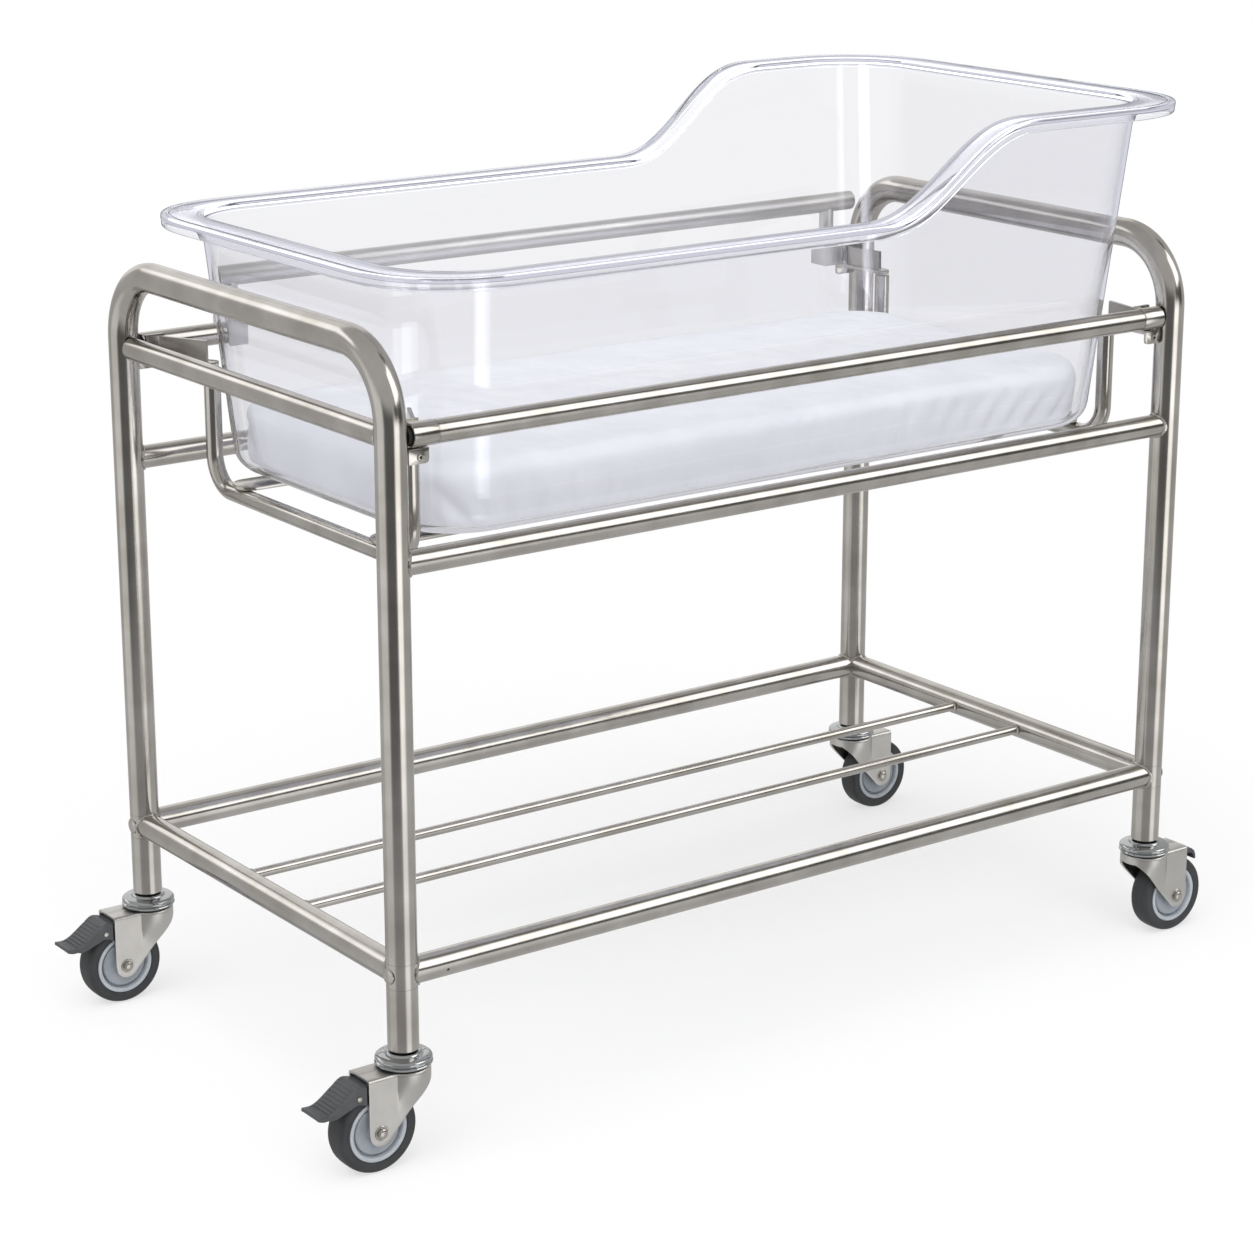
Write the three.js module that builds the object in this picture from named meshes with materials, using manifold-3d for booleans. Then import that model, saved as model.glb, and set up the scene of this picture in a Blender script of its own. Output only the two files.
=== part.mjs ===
// Hospital bassinet: a welded stainless-tube stand on four swivel casters, a cradle ring with two U-bars,
// a clear tub that rests on rubber pads, and a mattress. Units are mm, +Z is up, +X runs from foot to head,
// -Y is the front, and the origin is on the floor under the middle.
import * as THREE from "three";
import { mergeVertices } from "three/addons/utils/BufferGeometryUtils.js";
import Module from "manifold-3d";

// Driving dimensions: stand
const LEGS_X = 900;
const LEGS_Y = 470;
const LEG_OD = 28;
const TUBE_WALL = 1.5;
const LEG_BOTTOM_Z = 106;
const HANDLE_Z = 724;
const HOOP_BEND = 65;
const LOWER_Z = 176;
const LOWER_OD = 25;
const BED_Z = 542;
const BED_OD = 22;
const ROD_OD = 10;
const ROD_Y = 50;
const WELD_GAP = 0.45;

// Driving dimensions: cradle
const RING_Z = 651;
const RING_OD = 21;
const SPIGOT_OD = 16;
const SPIGOT_LENGTH = 4;
const SLEEVE_LENGTH = 25;
const BACK_RAIL_Z = 706;
const BACK_RAIL_OD = 20;
const BACK_POST_X = [-335, 399];
const BRACKET_TOP = RING_Z - RING_OD / 2 - 0.8;
const BRACKET_THICK = 4;
const BRACKET_RIB_TOP = 660;
const TAB_DROP = 13.5;
const U_FOOT_X = -392;
const U_HEAD_X = 426.5;
const U_Y = 172;
const U_TOP_Z = BRACKET_TOP - BRACKET_THICK - 1.3;
const U_Z = 520;
const U_OD = 16;
const U_BEND = 32;
const STRAP = { length: 104, width: 34, thick: 4, y: 121 };
const PAD = { length: 40, width: 30, inset: 22 };

// Driving dimensions: tub and mattress
const TUB_BOTTOM_Z = 538;
const TUB_WALL = 4;
const TUB_LOW_Z = 778;
const TUB_HIGH_Z = 862;
const TUB_FOOT_X = 389;
const TUB_HEAD_X = 425;
const TUB_HALF_Y = 194;
const DRAFT_FOOT = 0.06;
const DRAFT_HEAD = 0.05;
const DRAFT_SIDE = 0.115;
const TUB_CORNER = 78;
const TUB_HEEL = 22;
const S_START = 62;
const S_END = 248;
const S_BACK_SHIFT = 60;
const FLANGE = 32;
const FLANGE_CORNER_GAIN = 0.18;
const MATTRESS_THICK = 60;

// Driving dimensions: casters
const WHEEL_R = 40;
const WHEEL_SIDES = 28;
const WHEEL_TRAIL = 34;
const FORK_PLATE = 2.5;
const FORK_INNER_Y = 14.3;
const FORK_TOP_Z = 91.5;
const AXLE_R = 4;
const PEDAL_REACH = 96;
const PEDAL_RIBS = { count: 6, halfLength: 11.5, height: 0.9 };
const AXLE_Z = WHEEL_R * Math.cos(Math.PI / WHEEL_SIDES);
const CENTRE_X = (PEDAL_REACH - WHEEL_TRAIL - WHEEL_R) / 2;

// Finishes
const STEEL = { color: 0xb5b0a9, roughness: 0.32, metalness: 1 };
const CHROME = { color: 0xd6dade, roughness: 0.12, metalness: 1 };
const CLEAR = { color: 0xeef1f6, roughness: 0.06, metalness: 0 };
const COTTON = { color: 0xf2f3f9, roughness: 0.9, metalness: 0 };
const TYRE = { color: 0x4a4b4d, roughness: 0.7, metalness: 0 };
const WHEEL_GREY = { color: 0x9aa0a7, roughness: 0.45, metalness: 0 };
const PEDAL_GREY = { color: 0x55575a, roughness: 0.6, metalness: 0 };
const RUBBER = { color: 0x26272a, roughness: 0.8, metalness: 0 };

const wasm = await Module();
wasm.setup();
const bassinet = new THREE.Group();
bassinet.position.x = CENTRE_X;

// Adds one named piece with its own finish.
function addPart(name, geometry, finish) {
  const mesh = new THREE.Mesh(geometry, new THREE.MeshStandardMaterial(finish));
  mesh.name = name;
  bassinet.add(mesh);
}

// Signed volume of an indexed surface: negative when its faces look inwards.
function signedVolume(points, index) {
  let sum = 0;
  for (let i = 0; i < index.length; i += 3) {
    const [a, b, c] = [points[index[i]], points[index[i + 1]], points[index[i + 2]]];
    sum += a[0] * (b[1] * c[2] - b[2] * c[1]);
    sum += a[1] * (b[2] * c[0] - b[0] * c[2]);
    sum += a[2] * (b[0] * c[1] - b[1] * c[0]);
  }
  return sum / 6;
}

// A closed surface through rings of points, capped at both ends or joined back onto its first ring.
function skin(rings, joined = false) {
  const n = rings[0].length;
  const points = rings.flat();
  const index = [];
  const bands = joined ? rings.length : rings.length - 1;
  for (let k = 0; k < bands; k++) {
    const a = k * n;
    const b = ((k + 1) % rings.length) * n;
    for (let i = 0; i < n; i++) {
      const j = (i + 1) % n;
      index.push(a + i, a + j, b + j, a + i, b + j, b + i);
    }
  }
  const cap = (ring, start, flip) => {
    const centre = [0, 1, 2].map((axis) => ring.reduce((sum, p) => sum + p[axis], 0) / n);
    points.push(centre);
    for (let i = 0; i < n; i++) {
      const j = (i + 1) % n;
      const edge = flip ? [start + j, start + i] : [start + i, start + j];
      index.push(points.length - 1, ...edge);
    }
  };
  if (!joined) {
    cap(rings[0], 0, true);
    cap(rings[rings.length - 1], (rings.length - 1) * n, false);
  }
  const faces = signedVolume(points, index) < 0 ? index.reverse() : index;
  const geometry = new THREE.BufferGeometry();
  geometry.setAttribute("position", new THREE.Float32BufferAttribute(points.flat(), 3));
  geometry.setIndex(faces);
  return geometry;
}

// Boolean helpers.
function solidOf(geometry) {
  const bare = geometry.clone();
  bare.deleteAttribute("normal");
  bare.deleteAttribute("uv");
  const merged = mergeVertices(bare, 1e-4);
  const vertProperties = new Float32Array(merged.attributes.position.array);
  const triVerts = new Uint32Array(merged.index.array);
  return new wasm.Manifold(new wasm.Mesh({ numProp: 3, vertProperties, triVerts }));
}

function geometryOf(solid) {
  const mesh = solid.getMesh();
  const geometry = new THREE.BufferGeometry();
  geometry.setAttribute("position", new THREE.BufferAttribute(mesh.vertProperties, 3));
  geometry.setIndex(new THREE.BufferAttribute(mesh.triVerts, 1));
  return geometry;
}

function union(...pieces) {
  return geometryOf(pieces.map(solidOf).reduce((a, b) => a.add(b)));
}

function box(x0, x1, y0, y1, z0, z1) {
  const geometry = new THREE.BoxGeometry(x1 - x0, y1 - y0, z1 - z0);
  return geometry.translate((x0 + x1) / 2, (y0 + y1) / 2, (z0 + z1) / 2);
}

// An outline drawn in X and Z and given a thickness from y0 to y1.
function plateXZ(shape, y0, y1, curveSegments = 6) {
  const geometry = new THREE.ExtrudeGeometry(shape, { depth: y1 - y0, bevelEnabled: false, curveSegments });
  return geometry.rotateX(Math.PI / 2).translate(0, y1, 0);
}

// An outline drawn in X and Y and given a thickness from z0 to z1.
function plateXY(shape, z0, z1, curveSegments = 6) {
  const geometry = new THREE.ExtrudeGeometry(shape, { depth: z1 - z0, bevelEnabled: false, curveSegments });
  return geometry.translate(0, 0, z0);
}

// A turned piece about a vertical or a Y axis from [radius, position] pairs.
function turned(profile, sides, axis = "z", phase = 0) {
  const outline = profile.map(([r, h]) => new THREE.Vector2(r, h));
  const geometry = new THREE.LatheGeometry(outline, sides, phase);
  return axis === "z" ? geometry.rotateX(Math.PI / 2) : geometry;
}

// Bent tubes: a path of straight runs with rounded corners, stepped only where it bends.
class BentPath extends THREE.Curve {
  constructor(corners, radius, steps) {
    super();
    this.points = [corners[0]];
    this.tangents = [corners[1].clone().sub(corners[0]).normalize()];
    for (let i = 1; i < corners.length - 1; i++) {
      const into = corners[i].clone().sub(corners[i - 1]).normalize();
      const out = corners[i + 1].clone().sub(corners[i]).normalize();
      const turn = into.angleTo(out);
      const reach = radius * Math.tan(turn / 2);
      const side = out.clone().addScaledVector(into, -into.dot(out)).normalize();
      const start = corners[i].clone().addScaledVector(into, -reach);
      for (let s = 0; s <= steps; s++) {
        const a = (turn * s) / steps;
        const p = start.clone().addScaledVector(into, radius * Math.sin(a));
        this.points.push(p.addScaledVector(side, radius * (1 - Math.cos(a))));
        const t = into.clone().multiplyScalar(Math.cos(a));
        this.tangents.push(t.addScaledVector(side, Math.sin(a)));
      }
    }
    this.points.push(corners[corners.length - 1]);
    this.tangents.push(this.tangents[this.tangents.length - 1]);
  }

  get steps() {
    return this.points.length - 1;
  }

  getSpacedPoints() {
    return this.points;
  }

  getTangentAt(u) {
    return this.tangents[Math.round(u * this.steps)].clone();
  }
}

function circleShape(radius, sides, holeRadius = 0) {
  const ring = (r) =>
    Array.from({ length: sides }, (_, i) => {
      const a = ((i + 0.5) / sides) * Math.PI * 2;
      return new THREE.Vector2(r * Math.cos(a), r * Math.sin(a));
    });
  const shape = new THREE.Shape(ring(radius));
  if (holeRadius > 0) shape.holes.push(new THREE.Path(ring(holeRadius)));
  return shape;
}

function bentTube(corners, bend, radius, holeRadius, sides, bendSteps) {
  const path = new BentPath(corners, bend, bendSteps);
  const shape = circleShape(radius, sides, holeRadius);
  return new THREE.ExtrudeGeometry(shape, { extrudePath: path, steps: path.steps, bevelEnabled: false });
}

// Straight tubes with shaped ends. A station is [distance in from the end, radius, end curve], and an end
// curve gives how far the end stays from the crossing tube's axis at a sideways offset.
function saddle(radius) {
  return (offset) => Math.sqrt(Math.max(0, radius * radius - offset * offset));
}

// The saddle, and a mitre against the rail that meets the same leg at a right angle on the given side.
function mitredSaddle(radius, side) {
  return (offset) => Math.max(saddle(radius)(offset), offset * side + 0.3);
}

function ringPoints(axis, along, radius, fixed, sides, endCurve, direction) {
  return Array.from({ length: sides }, (_, i) => {
    const a = ((i + 0.5) / sides) * Math.PI * 2;
    const u = radius * Math.cos(a);
    const v = radius * Math.sin(a);
    const s = along - direction * (endCurve ? endCurve(u) : 0);
    return axis === "x" ? [s, fixed[0] + u, fixed[1] + v] : [fixed[0] + u, s, fixed[1] + v];
  });
}

// ends: two lists of stations from the low end and the high end, each measured from the crossing axis.
function straightTube(axis, fixed, low, high, bore, sides) {
  const outer = [];
  low.stations.forEach(([d, r, curve]) => {
    outer.push(ringPoints(axis, low.at + d, r, fixed, sides, curve, -1));
  });
  [...high.stations].reverse().forEach(([d, r, curve]) => {
    outer.push(ringPoints(axis, high.at - d, r, fixed, sides, curve, 1));
  });
  if (!bore) return skin(outer);
  const lowEnd = low.stations[0];
  const highEnd = high.stations[0];
  const inner = [
    ringPoints(axis, high.at - highEnd[0], bore, fixed, sides, highEnd[2], 1),
    ringPoints(axis, low.at + lowEnd[0], bore, fixed, sides, lowEnd[2], -1),
  ];
  return skin([...outer, ...inner], true);
}

// A welded end: a small bead that follows the leg, then the plain tube.
function weldedEnd(at, radius, curve) {
  return { at, stations: [[0, radius + 1.2, curve], [2.6, radius, curve]] };
}

// A plugged end: a thin spigot up to the leg, then the full tube, with or without a sleeve.
function spigotEnd(at, radius, curve, sleeve) {
  const face = LEG_OD / 2 + SPIGOT_LENGTH;
  const stations = [
    [0, SPIGOT_OD / 2, curve],
    [face, SPIGOT_OD / 2, null],
    [face, radius + (sleeve ? 0.35 : 0), null],
  ];
  if (sleeve) {
    stations.push([face + SLEEVE_LENGTH, radius + 0.35, null]);
    stations.push([face + SLEEVE_LENGTH, radius, null]);
  }
  return { at, stations };
}

function plainEnd(at, radius) {
  return { at, stations: [[0, radius, null]] };
}

const halfX = LEGS_X / 2;
const halfY = LEGS_Y / 2;
const legSeat = LEG_OD / 2 + WELD_GAP;
const CORNERS = [
  ["front_foot", -1, -1],
  ["front_head", 1, -1],
  ["back_foot", -1, 1],
  ["back_head", 1, 1],
];

// End hoops: two legs and the push handle in one bent tube.
[["foot", -halfX], ["head", halfX]].forEach(([end, x]) => {
  const corners = [
    new THREE.Vector3(x, -halfY, LEG_BOTTOM_Z),
    new THREE.Vector3(x, -halfY, HANDLE_Z),
    new THREE.Vector3(x, halfY, HANDLE_Z),
    new THREE.Vector3(x, halfY, LEG_BOTTOM_Z),
  ];
  const hoop = bentTube(corners, HOOP_BEND, LEG_OD / 2, LEG_OD / 2 - TUBE_WALL, 18, 6);
  addPart(`${end}_end_hoop`, hoop, STEEL);
});

// Lower frame: long rails and cross rails, mitred to each other where they meet a leg.
[["front", -halfY], ["back", halfY]].forEach(([side, y]) => {
  const curve = mitredSaddle(legSeat, -Math.sign(y));
  const r = LOWER_OD / 2;
  const lower = straightTube(
    "x", [y, LOWER_Z], weldedEnd(-halfX, r, curve), weldedEnd(halfX, r, curve), r - TUBE_WALL, 18,
  );
  addPart(`${side}_lower_rail`, lower, STEEL);
});
[["foot", -halfX], ["head", halfX]].forEach(([end, x]) => {
  const curve = mitredSaddle(legSeat, -Math.sign(x));
  const r = LOWER_OD / 2;
  const lower = straightTube(
    "y", [x, LOWER_Z], weldedEnd(-halfY, r, curve), weldedEnd(halfY, r, curve), r - TUBE_WALL, 18,
  );
  addPart(`${end}_lower_cross_rail`, lower, STEEL);
});

// Shelf rods between the lower cross rails.
[["front", -ROD_Y], ["back", ROD_Y]].forEach(([side, y]) => {
  const r = ROD_OD / 2;
  const seat = LOWER_OD / 2 + WELD_GAP;
  const stations = [[seat, r + 0.9, null], [seat + 2, r, null]];
  const ends = [-halfX, halfX].map((at) => ({ at, stations }));
  addPart(`${side}_shelf_rod`, straightTube("x", [y, LOWER_Z], ends[0], ends[1], 0, 12), STEEL);
});

// Bed-level rails.
[["front", -halfY], ["back", halfY]].forEach(([side, y]) => {
  const curve = saddle(legSeat);
  const r = BED_OD / 2;
  const rail = straightTube(
    "x", [y, BED_Z], weldedEnd(-halfX, r, curve), weldedEnd(halfX, r, curve), r - TUBE_WALL, 18,
  );
  addPart(`${side}_bed_rail`, rail, STEEL);
});

// Cradle ring, open at the head where the tub reaches the handle: sleeved front rail, foot cross rail and
// short back stubs, on spigots in the legs.
const ringR = RING_OD / 2;
const ringBore = 6;
const ringCurve = saddle(legSeat);
addPart(
  "front_upper_rail",
  straightTube(
    "x", [-halfY, RING_Z],
    spigotEnd(-halfX, ringR, ringCurve, true), spigotEnd(halfX, ringR, ringCurve, true), ringBore, 18,
  ),
  STEEL,
);
addPart(
  "foot_upper_cross_rail",
  straightTube(
    "y", [-halfX, RING_Z],
    weldedEnd(-halfY, ringR, saddle(legSeat + 0.3)), spigotEnd(halfY, ringR, ringCurve, false), ringBore, 18,
  ),
  STEEL,
);
const BLOCK = { x: 12, y: 13, bottom: BRACKET_TOP + 0.5, top: 667 };
const stubFoot = straightTube(
  "x", [halfY, RING_Z],
  spigotEnd(-halfX, ringR, ringCurve, false), plainEnd(BACK_POST_X[0] - BLOCK.x - 0.4, ringR), ringBore, 16,
);
addPart("foot_back_stub", stubFoot, STEEL);
const stubHead = straightTube(
  "x", [halfY, RING_Z],
  plainEnd(BACK_POST_X[1] + BLOCK.x + 0.4, ringR), spigotEnd(halfX, ringR, ringCurve, false), ringBore, 16,
);
addPart("head_back_stub", stubHead, STEEL);

// Raised back rail on two posts, each standing on a block at the end of a stub.
const backRail = straightTube(
  "x", [halfY, BACK_RAIL_Z],
  plainEnd(BACK_POST_X[0] - 16, BACK_RAIL_OD / 2), plainEnd(halfX - 18, BACK_RAIL_OD / 2),
  BACK_RAIL_OD / 2 - TUBE_WALL, 16,
);
const backPosts = BACK_POST_X.flatMap((x) => {
  const foot = BLOCK.top - 2;
  const top = BACK_RAIL_Z - 6;
  const post = turned([[0, foot], [8, foot], [8, top], [0, top]], 12);
  const block = box(x - BLOCK.x, x + BLOCK.x, halfY - BLOCK.y, halfY + BLOCK.y, BLOCK.bottom, BLOCK.top);
  return [post.translate(x, halfY, 0), block];
});
addPart("raised_back_rail", union(backRail, ...backPosts), STEEL);

// U-bars that hang from the ring and cross under the tub.
[["foot", U_FOOT_X], ["head", U_HEAD_X]].forEach(([end, x]) => {
  const corners = [
    new THREE.Vector3(x, -U_Y, U_TOP_Z),
    new THREE.Vector3(x, -U_Y, U_Z),
    new THREE.Vector3(x, U_Y, U_Z),
    new THREE.Vector3(x, U_Y, U_TOP_Z),
  ];
  addPart(`${end}_u_bar`, bentTube(corners, U_BEND, U_OD / 2, 0, 14, 6), STEEL);
});

// Corner brackets: a screwed tab under the rail's end, a clip behind the rail and an angle-section arm that
// reaches in to the U-bar. Plans are drawn from the leg's axis: u runs along the rail and v inwards from it.
function cornerBracket(sx, sy) {
  const spot = (u, v) => new THREE.Vector2(sx * (halfX - u), sy * (halfY - v));
  const plan = (points) => new THREE.Shape(points.map(([u, v]) => spot(u, v)));
  const root = new THREE.Vector2(25, 12);
  const tip = new THREE.Vector2(halfX - Math.abs(sx < 0 ? U_FOOT_X : U_HEAD_X), halfY - U_Y);
  const along = tip.clone().sub(root).normalize();
  const across = new THREE.Vector2(along.y, -along.x);
  const near = (a, c) => [tip.x + along.x * a + across.x * c, tip.y + along.y * a + across.y * c];
  const low = BRACKET_TOP - BRACKET_THICK;
  const web = plateXY(
    plan([[15, -4], [35, -4], [35, 8], near(0, 7.5), near(5, 5.5), near(7, 0), near(5, -5.5), near(0, -7.5),
      [16.5, 22], [16.5, 10]]),
    low, BRACKET_TOP,
  );
  const clip = plateXY(plan([[16.5, 11.6], [35, 11.6], [35, 15], [16.5, 15]]), low, BRACKET_RIB_TOP + 1.5);
  const rib = plateXY(
    plan([[33, 11.9], near(-4, 1.8), near(-4, -1.8), [30, 14.9]]), low, BRACKET_RIB_TOP - 1,
  );
  const outer = sx * (halfX - 15);
  const tab = new THREE.Shape();
  tab.moveTo(outer, BRACKET_TOP);
  tab.lineTo(outer, BRACKET_TOP - TAB_DROP);
  tab.lineTo(outer - sx * 16, BRACKET_TOP - TAB_DROP);
  tab.quadraticCurveTo(
    outer - sx * 20, BRACKET_TOP - TAB_DROP, outer - sx * 20, BRACKET_TOP - TAB_DROP + 4,
  );
  tab.lineTo(outer - sx * 20, BRACKET_TOP);
  const front = sy * (halfY + 4);
  const tabPlate = plateXZ(tab, Math.min(front, front - sy * 3), Math.max(front, front - sy * 3), 3);
  const screw = turned([[0, -1.4], [2, -1.4], [3, -0.6], [3, 0.8], [0, 0.8]], 10, "y");
  if (sy > 0) screw.rotateX(Math.PI);
  screw.translate(outer - sx * 10.5, front, BRACKET_TOP - 7.5);
  return union(web, clip, rib, tabPlate, screw);
}
CORNERS.forEach(([corner, sx, sy]) => addPart(`${corner}_bracket`, cornerBracket(sx, sy), STEEL));

// Support straps on the U-bars, with the rubber pads the tub rests on.
const strapBottom = U_Z + U_OD / 2 + 0.3;
const strapTop = strapBottom + STRAP.thick;
CORNERS.forEach(([corner, sx, sy]) => {
  const outerX = (sx < 0 ? U_FOOT_X : U_HEAD_X) + sx * 8;
  const innerX = outerX - sx * STRAP.length;
  const y = sy * STRAP.y;
  const bow = STRAP.width / 2;
  const outline = new THREE.Shape();
  outline.absarc(Math.max(outerX, innerX) - bow, y, bow, -Math.PI / 2, Math.PI / 2, false);
  outline.absarc(Math.min(outerX, innerX) + bow, y, bow, Math.PI / 2, Math.PI * 1.5, false);
  const strap = plateXY(outline, strapBottom, strapTop, 6);
  addPart(`${corner}_strap`, strap, STEEL);
  const padX = innerX + sx * (PAD.inset + 4);
  const pad = new THREE.Shape();
  pad.absellipse(padX, y, PAD.length / 2, PAD.width / 2, 0, Math.PI * 2);
  addPart(`${corner}_pad`, plateXY(pad, strapTop + 0.3, TUB_BOTTOM_Z - 0.4, 6), RUBBER);
});

// Domed bolts on the outer sides of the legs at the lower-frame level.
CORNERS.forEach(([corner, sx, sy]) => {
  const at = sx * halfX;
  const seat = saddle(LEG_OD / 2 + 1.2);
  const stations = [[0, 6.5, seat], [15.6, 6.5, null], [17.4, 5, null], [18.3, 2.4, null]];
  const rings = stations.map(([d, r, curve]) =>
    ringPoints("x", at + sx * d, r, [sy * halfY, LOWER_Z], 12, curve, -sx),
  );
  addPart(`${corner}_leg_bolt`, skin(rings), CHROME);
});

// Plan of the tub: a rounded rectangle whose sides are stepped finely along the rise of the rim.
const CORNER_STEPS = 7;
const SIDE_STOPS = [0, 0.35, 0.56, 0.585, 0.61, 0.63, 0.65, 0.67, 0.69, 0.71, 0.735, 0.76, 0.785, 0.9, 1];
const BACK_STOPS = SIDE_STOPS.map((t) => (t > 0.4 && t < 0.8 ? t + S_BACK_SHIFT / 684 : t));

// Points of the plan with the outward direction and a corner measure, anticlockwise from the foot's front
// corner.
function planPoints(foot, head, half, corner) {
  const list = [];
  const arc = (cx, cy, from) => {
    for (let i = 0; i <= CORNER_STEPS; i++) {
      const a = from + (Math.PI / 2) * (i / CORNER_STEPS);
      const n = [Math.cos(a), Math.sin(a)];
      const bump = Math.sin((Math.PI * i) / CORNER_STEPS) ** 2;
      list.push({ p: [cx + corner * n[0], cy + corner * n[1]], n, bump });
    }
  };
  const side = (stops, y, n) => {
    stops.slice(1, -1).forEach((t) => {
      const x = -foot + corner + t * (foot + head - 2 * corner);
      list.push({ p: [x, y], n, bump: 0 });
    });
  };
  arc(-foot + corner, -half + corner, Math.PI);
  side(SIDE_STOPS, -half, [0, -1]);
  arc(head - corner, -half + corner, 1.5 * Math.PI);
  list.push({ p: [head, 0], n: [1, 0], bump: 0 });
  arc(head - corner, half - corner, 0);
  side([...BACK_STOPS].reverse(), half, [0, 1]);
  arc(-foot + corner, half - corner, 0.5 * Math.PI);
  list.push({ p: [-foot, 0], n: [-1, 0], bump: 0 });
  return list;
}

// Plan of the tub's outer wall at a height.
function tubPlan(z) {
  const rise = z - TUB_BOTTOM_Z;
  const foot = TUB_FOOT_X + DRAFT_FOOT * rise;
  const head = TUB_HEAD_X + DRAFT_HEAD * rise;
  return planPoints(foot, head, TUB_HALF_Y + DRAFT_SIDE * rise, TUB_CORNER);
}

// Height of the rim's top at a place in plan: low at the foot, high at the head, rising later at the back.
function rimHeight(x, y) {
  const start = S_START + (y > 0 ? S_BACK_SHIFT : 0);
  const t = Math.min(1, Math.max(0, (x - start) / (S_END - S_START)));
  return TUB_LOW_Z + (TUB_HIGH_Z - TUB_LOW_Z) * t * t * t * (t * (6 * t - 15) + 10);
}

// One ring of the tub: at a height rule, moved outwards by an offset.
function tubRing(heightAt, offsetAt) {
  const reference = tubPlan(TUB_LOW_Z);
  return reference.map((ref, i) => {
    const z = heightAt(ref.p[0], ref.p[1]);
    const { p, n, bump } = tubPlan(z)[i];
    const o = offsetAt(bump);
    return [p[0] + n[0] * o, p[1] + n[1] * o, z];
  });
}

function tubGeometry() {
  const flat = (z, o) => tubRing(() => z, () => o);
  const rings = [];
  const heel = (radius, base, offset, angle) => {
    const z = base + radius * (1 - Math.cos(angle));
    return flat(z, offset - radius * (1 - Math.sin(angle)));
  };
  [0, 0.35, 0.7, 1].forEach((t) => rings.push(heel(TUB_HEEL, TUB_BOTTOM_Z, 0, (t * Math.PI) / 2)));
  rings.push(tubRing((x, y) => TUB_BOTTOM_Z + 0.55 * (rimHeight(x, y) - TUB_BOTTOM_Z), () => 0));
  const rim = (drop, offset, share) => {
    const reach = (bump) => offset + share * FLANGE * (1 + FLANGE_CORNER_GAIN * bump);
    rings.push(tubRing((x, y) => rimHeight(x, y) - drop, reach));
  };
  rim(9, 0, 0);
  rim(4.6, 3, 0);
  rim(4.6, -4.5, 1);
  rim(11.2, -4, 1);
  rim(12, -1.2, 1);
  rim(10.5, 0, 1);
  rim(2.6, 0, 1);
  rim(0.4, -1.4, 1);
  rim(0, -5.5, 1);
  rim(1.1, -7.2, 1);
  rim(0, -9, 1);
  rim(0, -1, 0);
  rim(1.3, -3.4, 0);
  rim(5, -TUB_WALL, 0);
  rings.push(tubRing((x, y) => TUB_BOTTOM_Z + 0.55 * (rimHeight(x, y) - TUB_BOTTOM_Z), () => -TUB_WALL));
  const innerHeel = TUB_HEEL - TUB_WALL;
  [1, 0.65, 0.3, 0].forEach((t) => {
    rings.push(heel(innerHeel, TUB_BOTTOM_Z + TUB_WALL, -TUB_WALL, (t * Math.PI) / 2));
  });
  return skin(rings);
}
addPart("tub", tubGeometry(), CLEAR);

// Mattress: drawn-in sides, rounded edges and a low crown, clear of the tub all round.
function mattressGeometry() {
  const base = TUB_BOTTOM_Z + TUB_WALL + 0.4;
  const rings = [
    [0, -20], [1.2, -12.5], [9, -4.5], [22, -3.6], [36, -4.4], [47, -4.6], [54, -9], [57, -20],
    [58.6, -48], [MATTRESS_THICK, -110],
  ].map(([rise, offset]) => {
    const z = base + rise;
    return tubPlan(z)
      .filter((_, i) => i % 2 === 0)
      .map(({ p, n }) => {
        const o = Math.max(offset, -46) - TUB_WALL;
        const shrink = Math.max(0, -46 - offset);
        const x = p[0] + n[0] * o;
        const y = p[1] + n[1] * o;
        return [x - Math.sign(x) * Math.min(shrink, Math.abs(x) * 0.3), y * (1 - shrink / 150), z];
      });
  });
  return skin(rings);
}
addPart("mattress", mattressGeometry(), COTTON);

// Casters, drawn with the wheel trailing towards -X and turned round where it trails the other way.
function swivelHead() {
  return turned(
    [
      [0, 87.6], [6, 87.6], [6, 92.2], [24.6, 92.2], [26, 94.4], [25.6, 98.6], [21.5, 101.4], [16.4, 102],
      [16, 105], [12.1, 105], [12.1, 136], [0, 136],
    ],
    18,
  );
}

function forkGeometry() {
  const inner = FORK_INNER_Y;
  const outer = FORK_INNER_Y + FORK_PLATE;
  const edge = -WHEEL_TRAIL - 12;
  const cheek = new THREE.Shape();
  cheek.moveTo(edge, FORK_TOP_Z);
  cheek.lineTo(edge, AXLE_Z);
  cheek.absarc(-WHEEL_TRAIL, AXLE_Z, 12, Math.PI, Math.PI * 1.86, false);
  cheek.lineTo(20, 82);
  cheek.lineTo(21, FORK_TOP_Z);
  const hole = new THREE.Path();
  hole.absarc(-WHEEL_TRAIL, AXLE_Z, AXLE_R + 0.4, 0, Math.PI * 2, true);
  cheek.holes.push(hole);
  const crown = new THREE.Shape();
  crown.moveTo(edge, -outer);
  crown.lineTo(-17.2, -outer);
  crown.absarc(0, 0, 24, Math.PI + 0.775, Math.PI * 3 - 0.775, false);
  crown.lineTo(edge, outer);
  const king = new THREE.Path();
  king.absarc(0, 0, 6.5, 0, Math.PI * 2, true);
  crown.holes.push(king);
  return union(
    plateXZ(cheek, inner, outer, 5),
    plateXZ(cheek, -outer, -inner, 5),
    plateXY(crown, FORK_TOP_Z - FORK_PLATE, FORK_TOP_Z, 7),
  );
}

function axleGeometry() {
  const seat = FORK_INNER_Y + FORK_PLATE + 0.3;
  return turned(
    [
      [0, -seat - 3.6], [3.6, -seat - 3.2], [6.6, -seat], [AXLE_R, -seat], [AXLE_R, seat], [6.6, seat],
      [3.6, seat + 3.2], [0, seat + 3.6],
    ],
    12,
    "y",
  ).translate(-WHEEL_TRAIL, 0, AXLE_Z);
}

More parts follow.
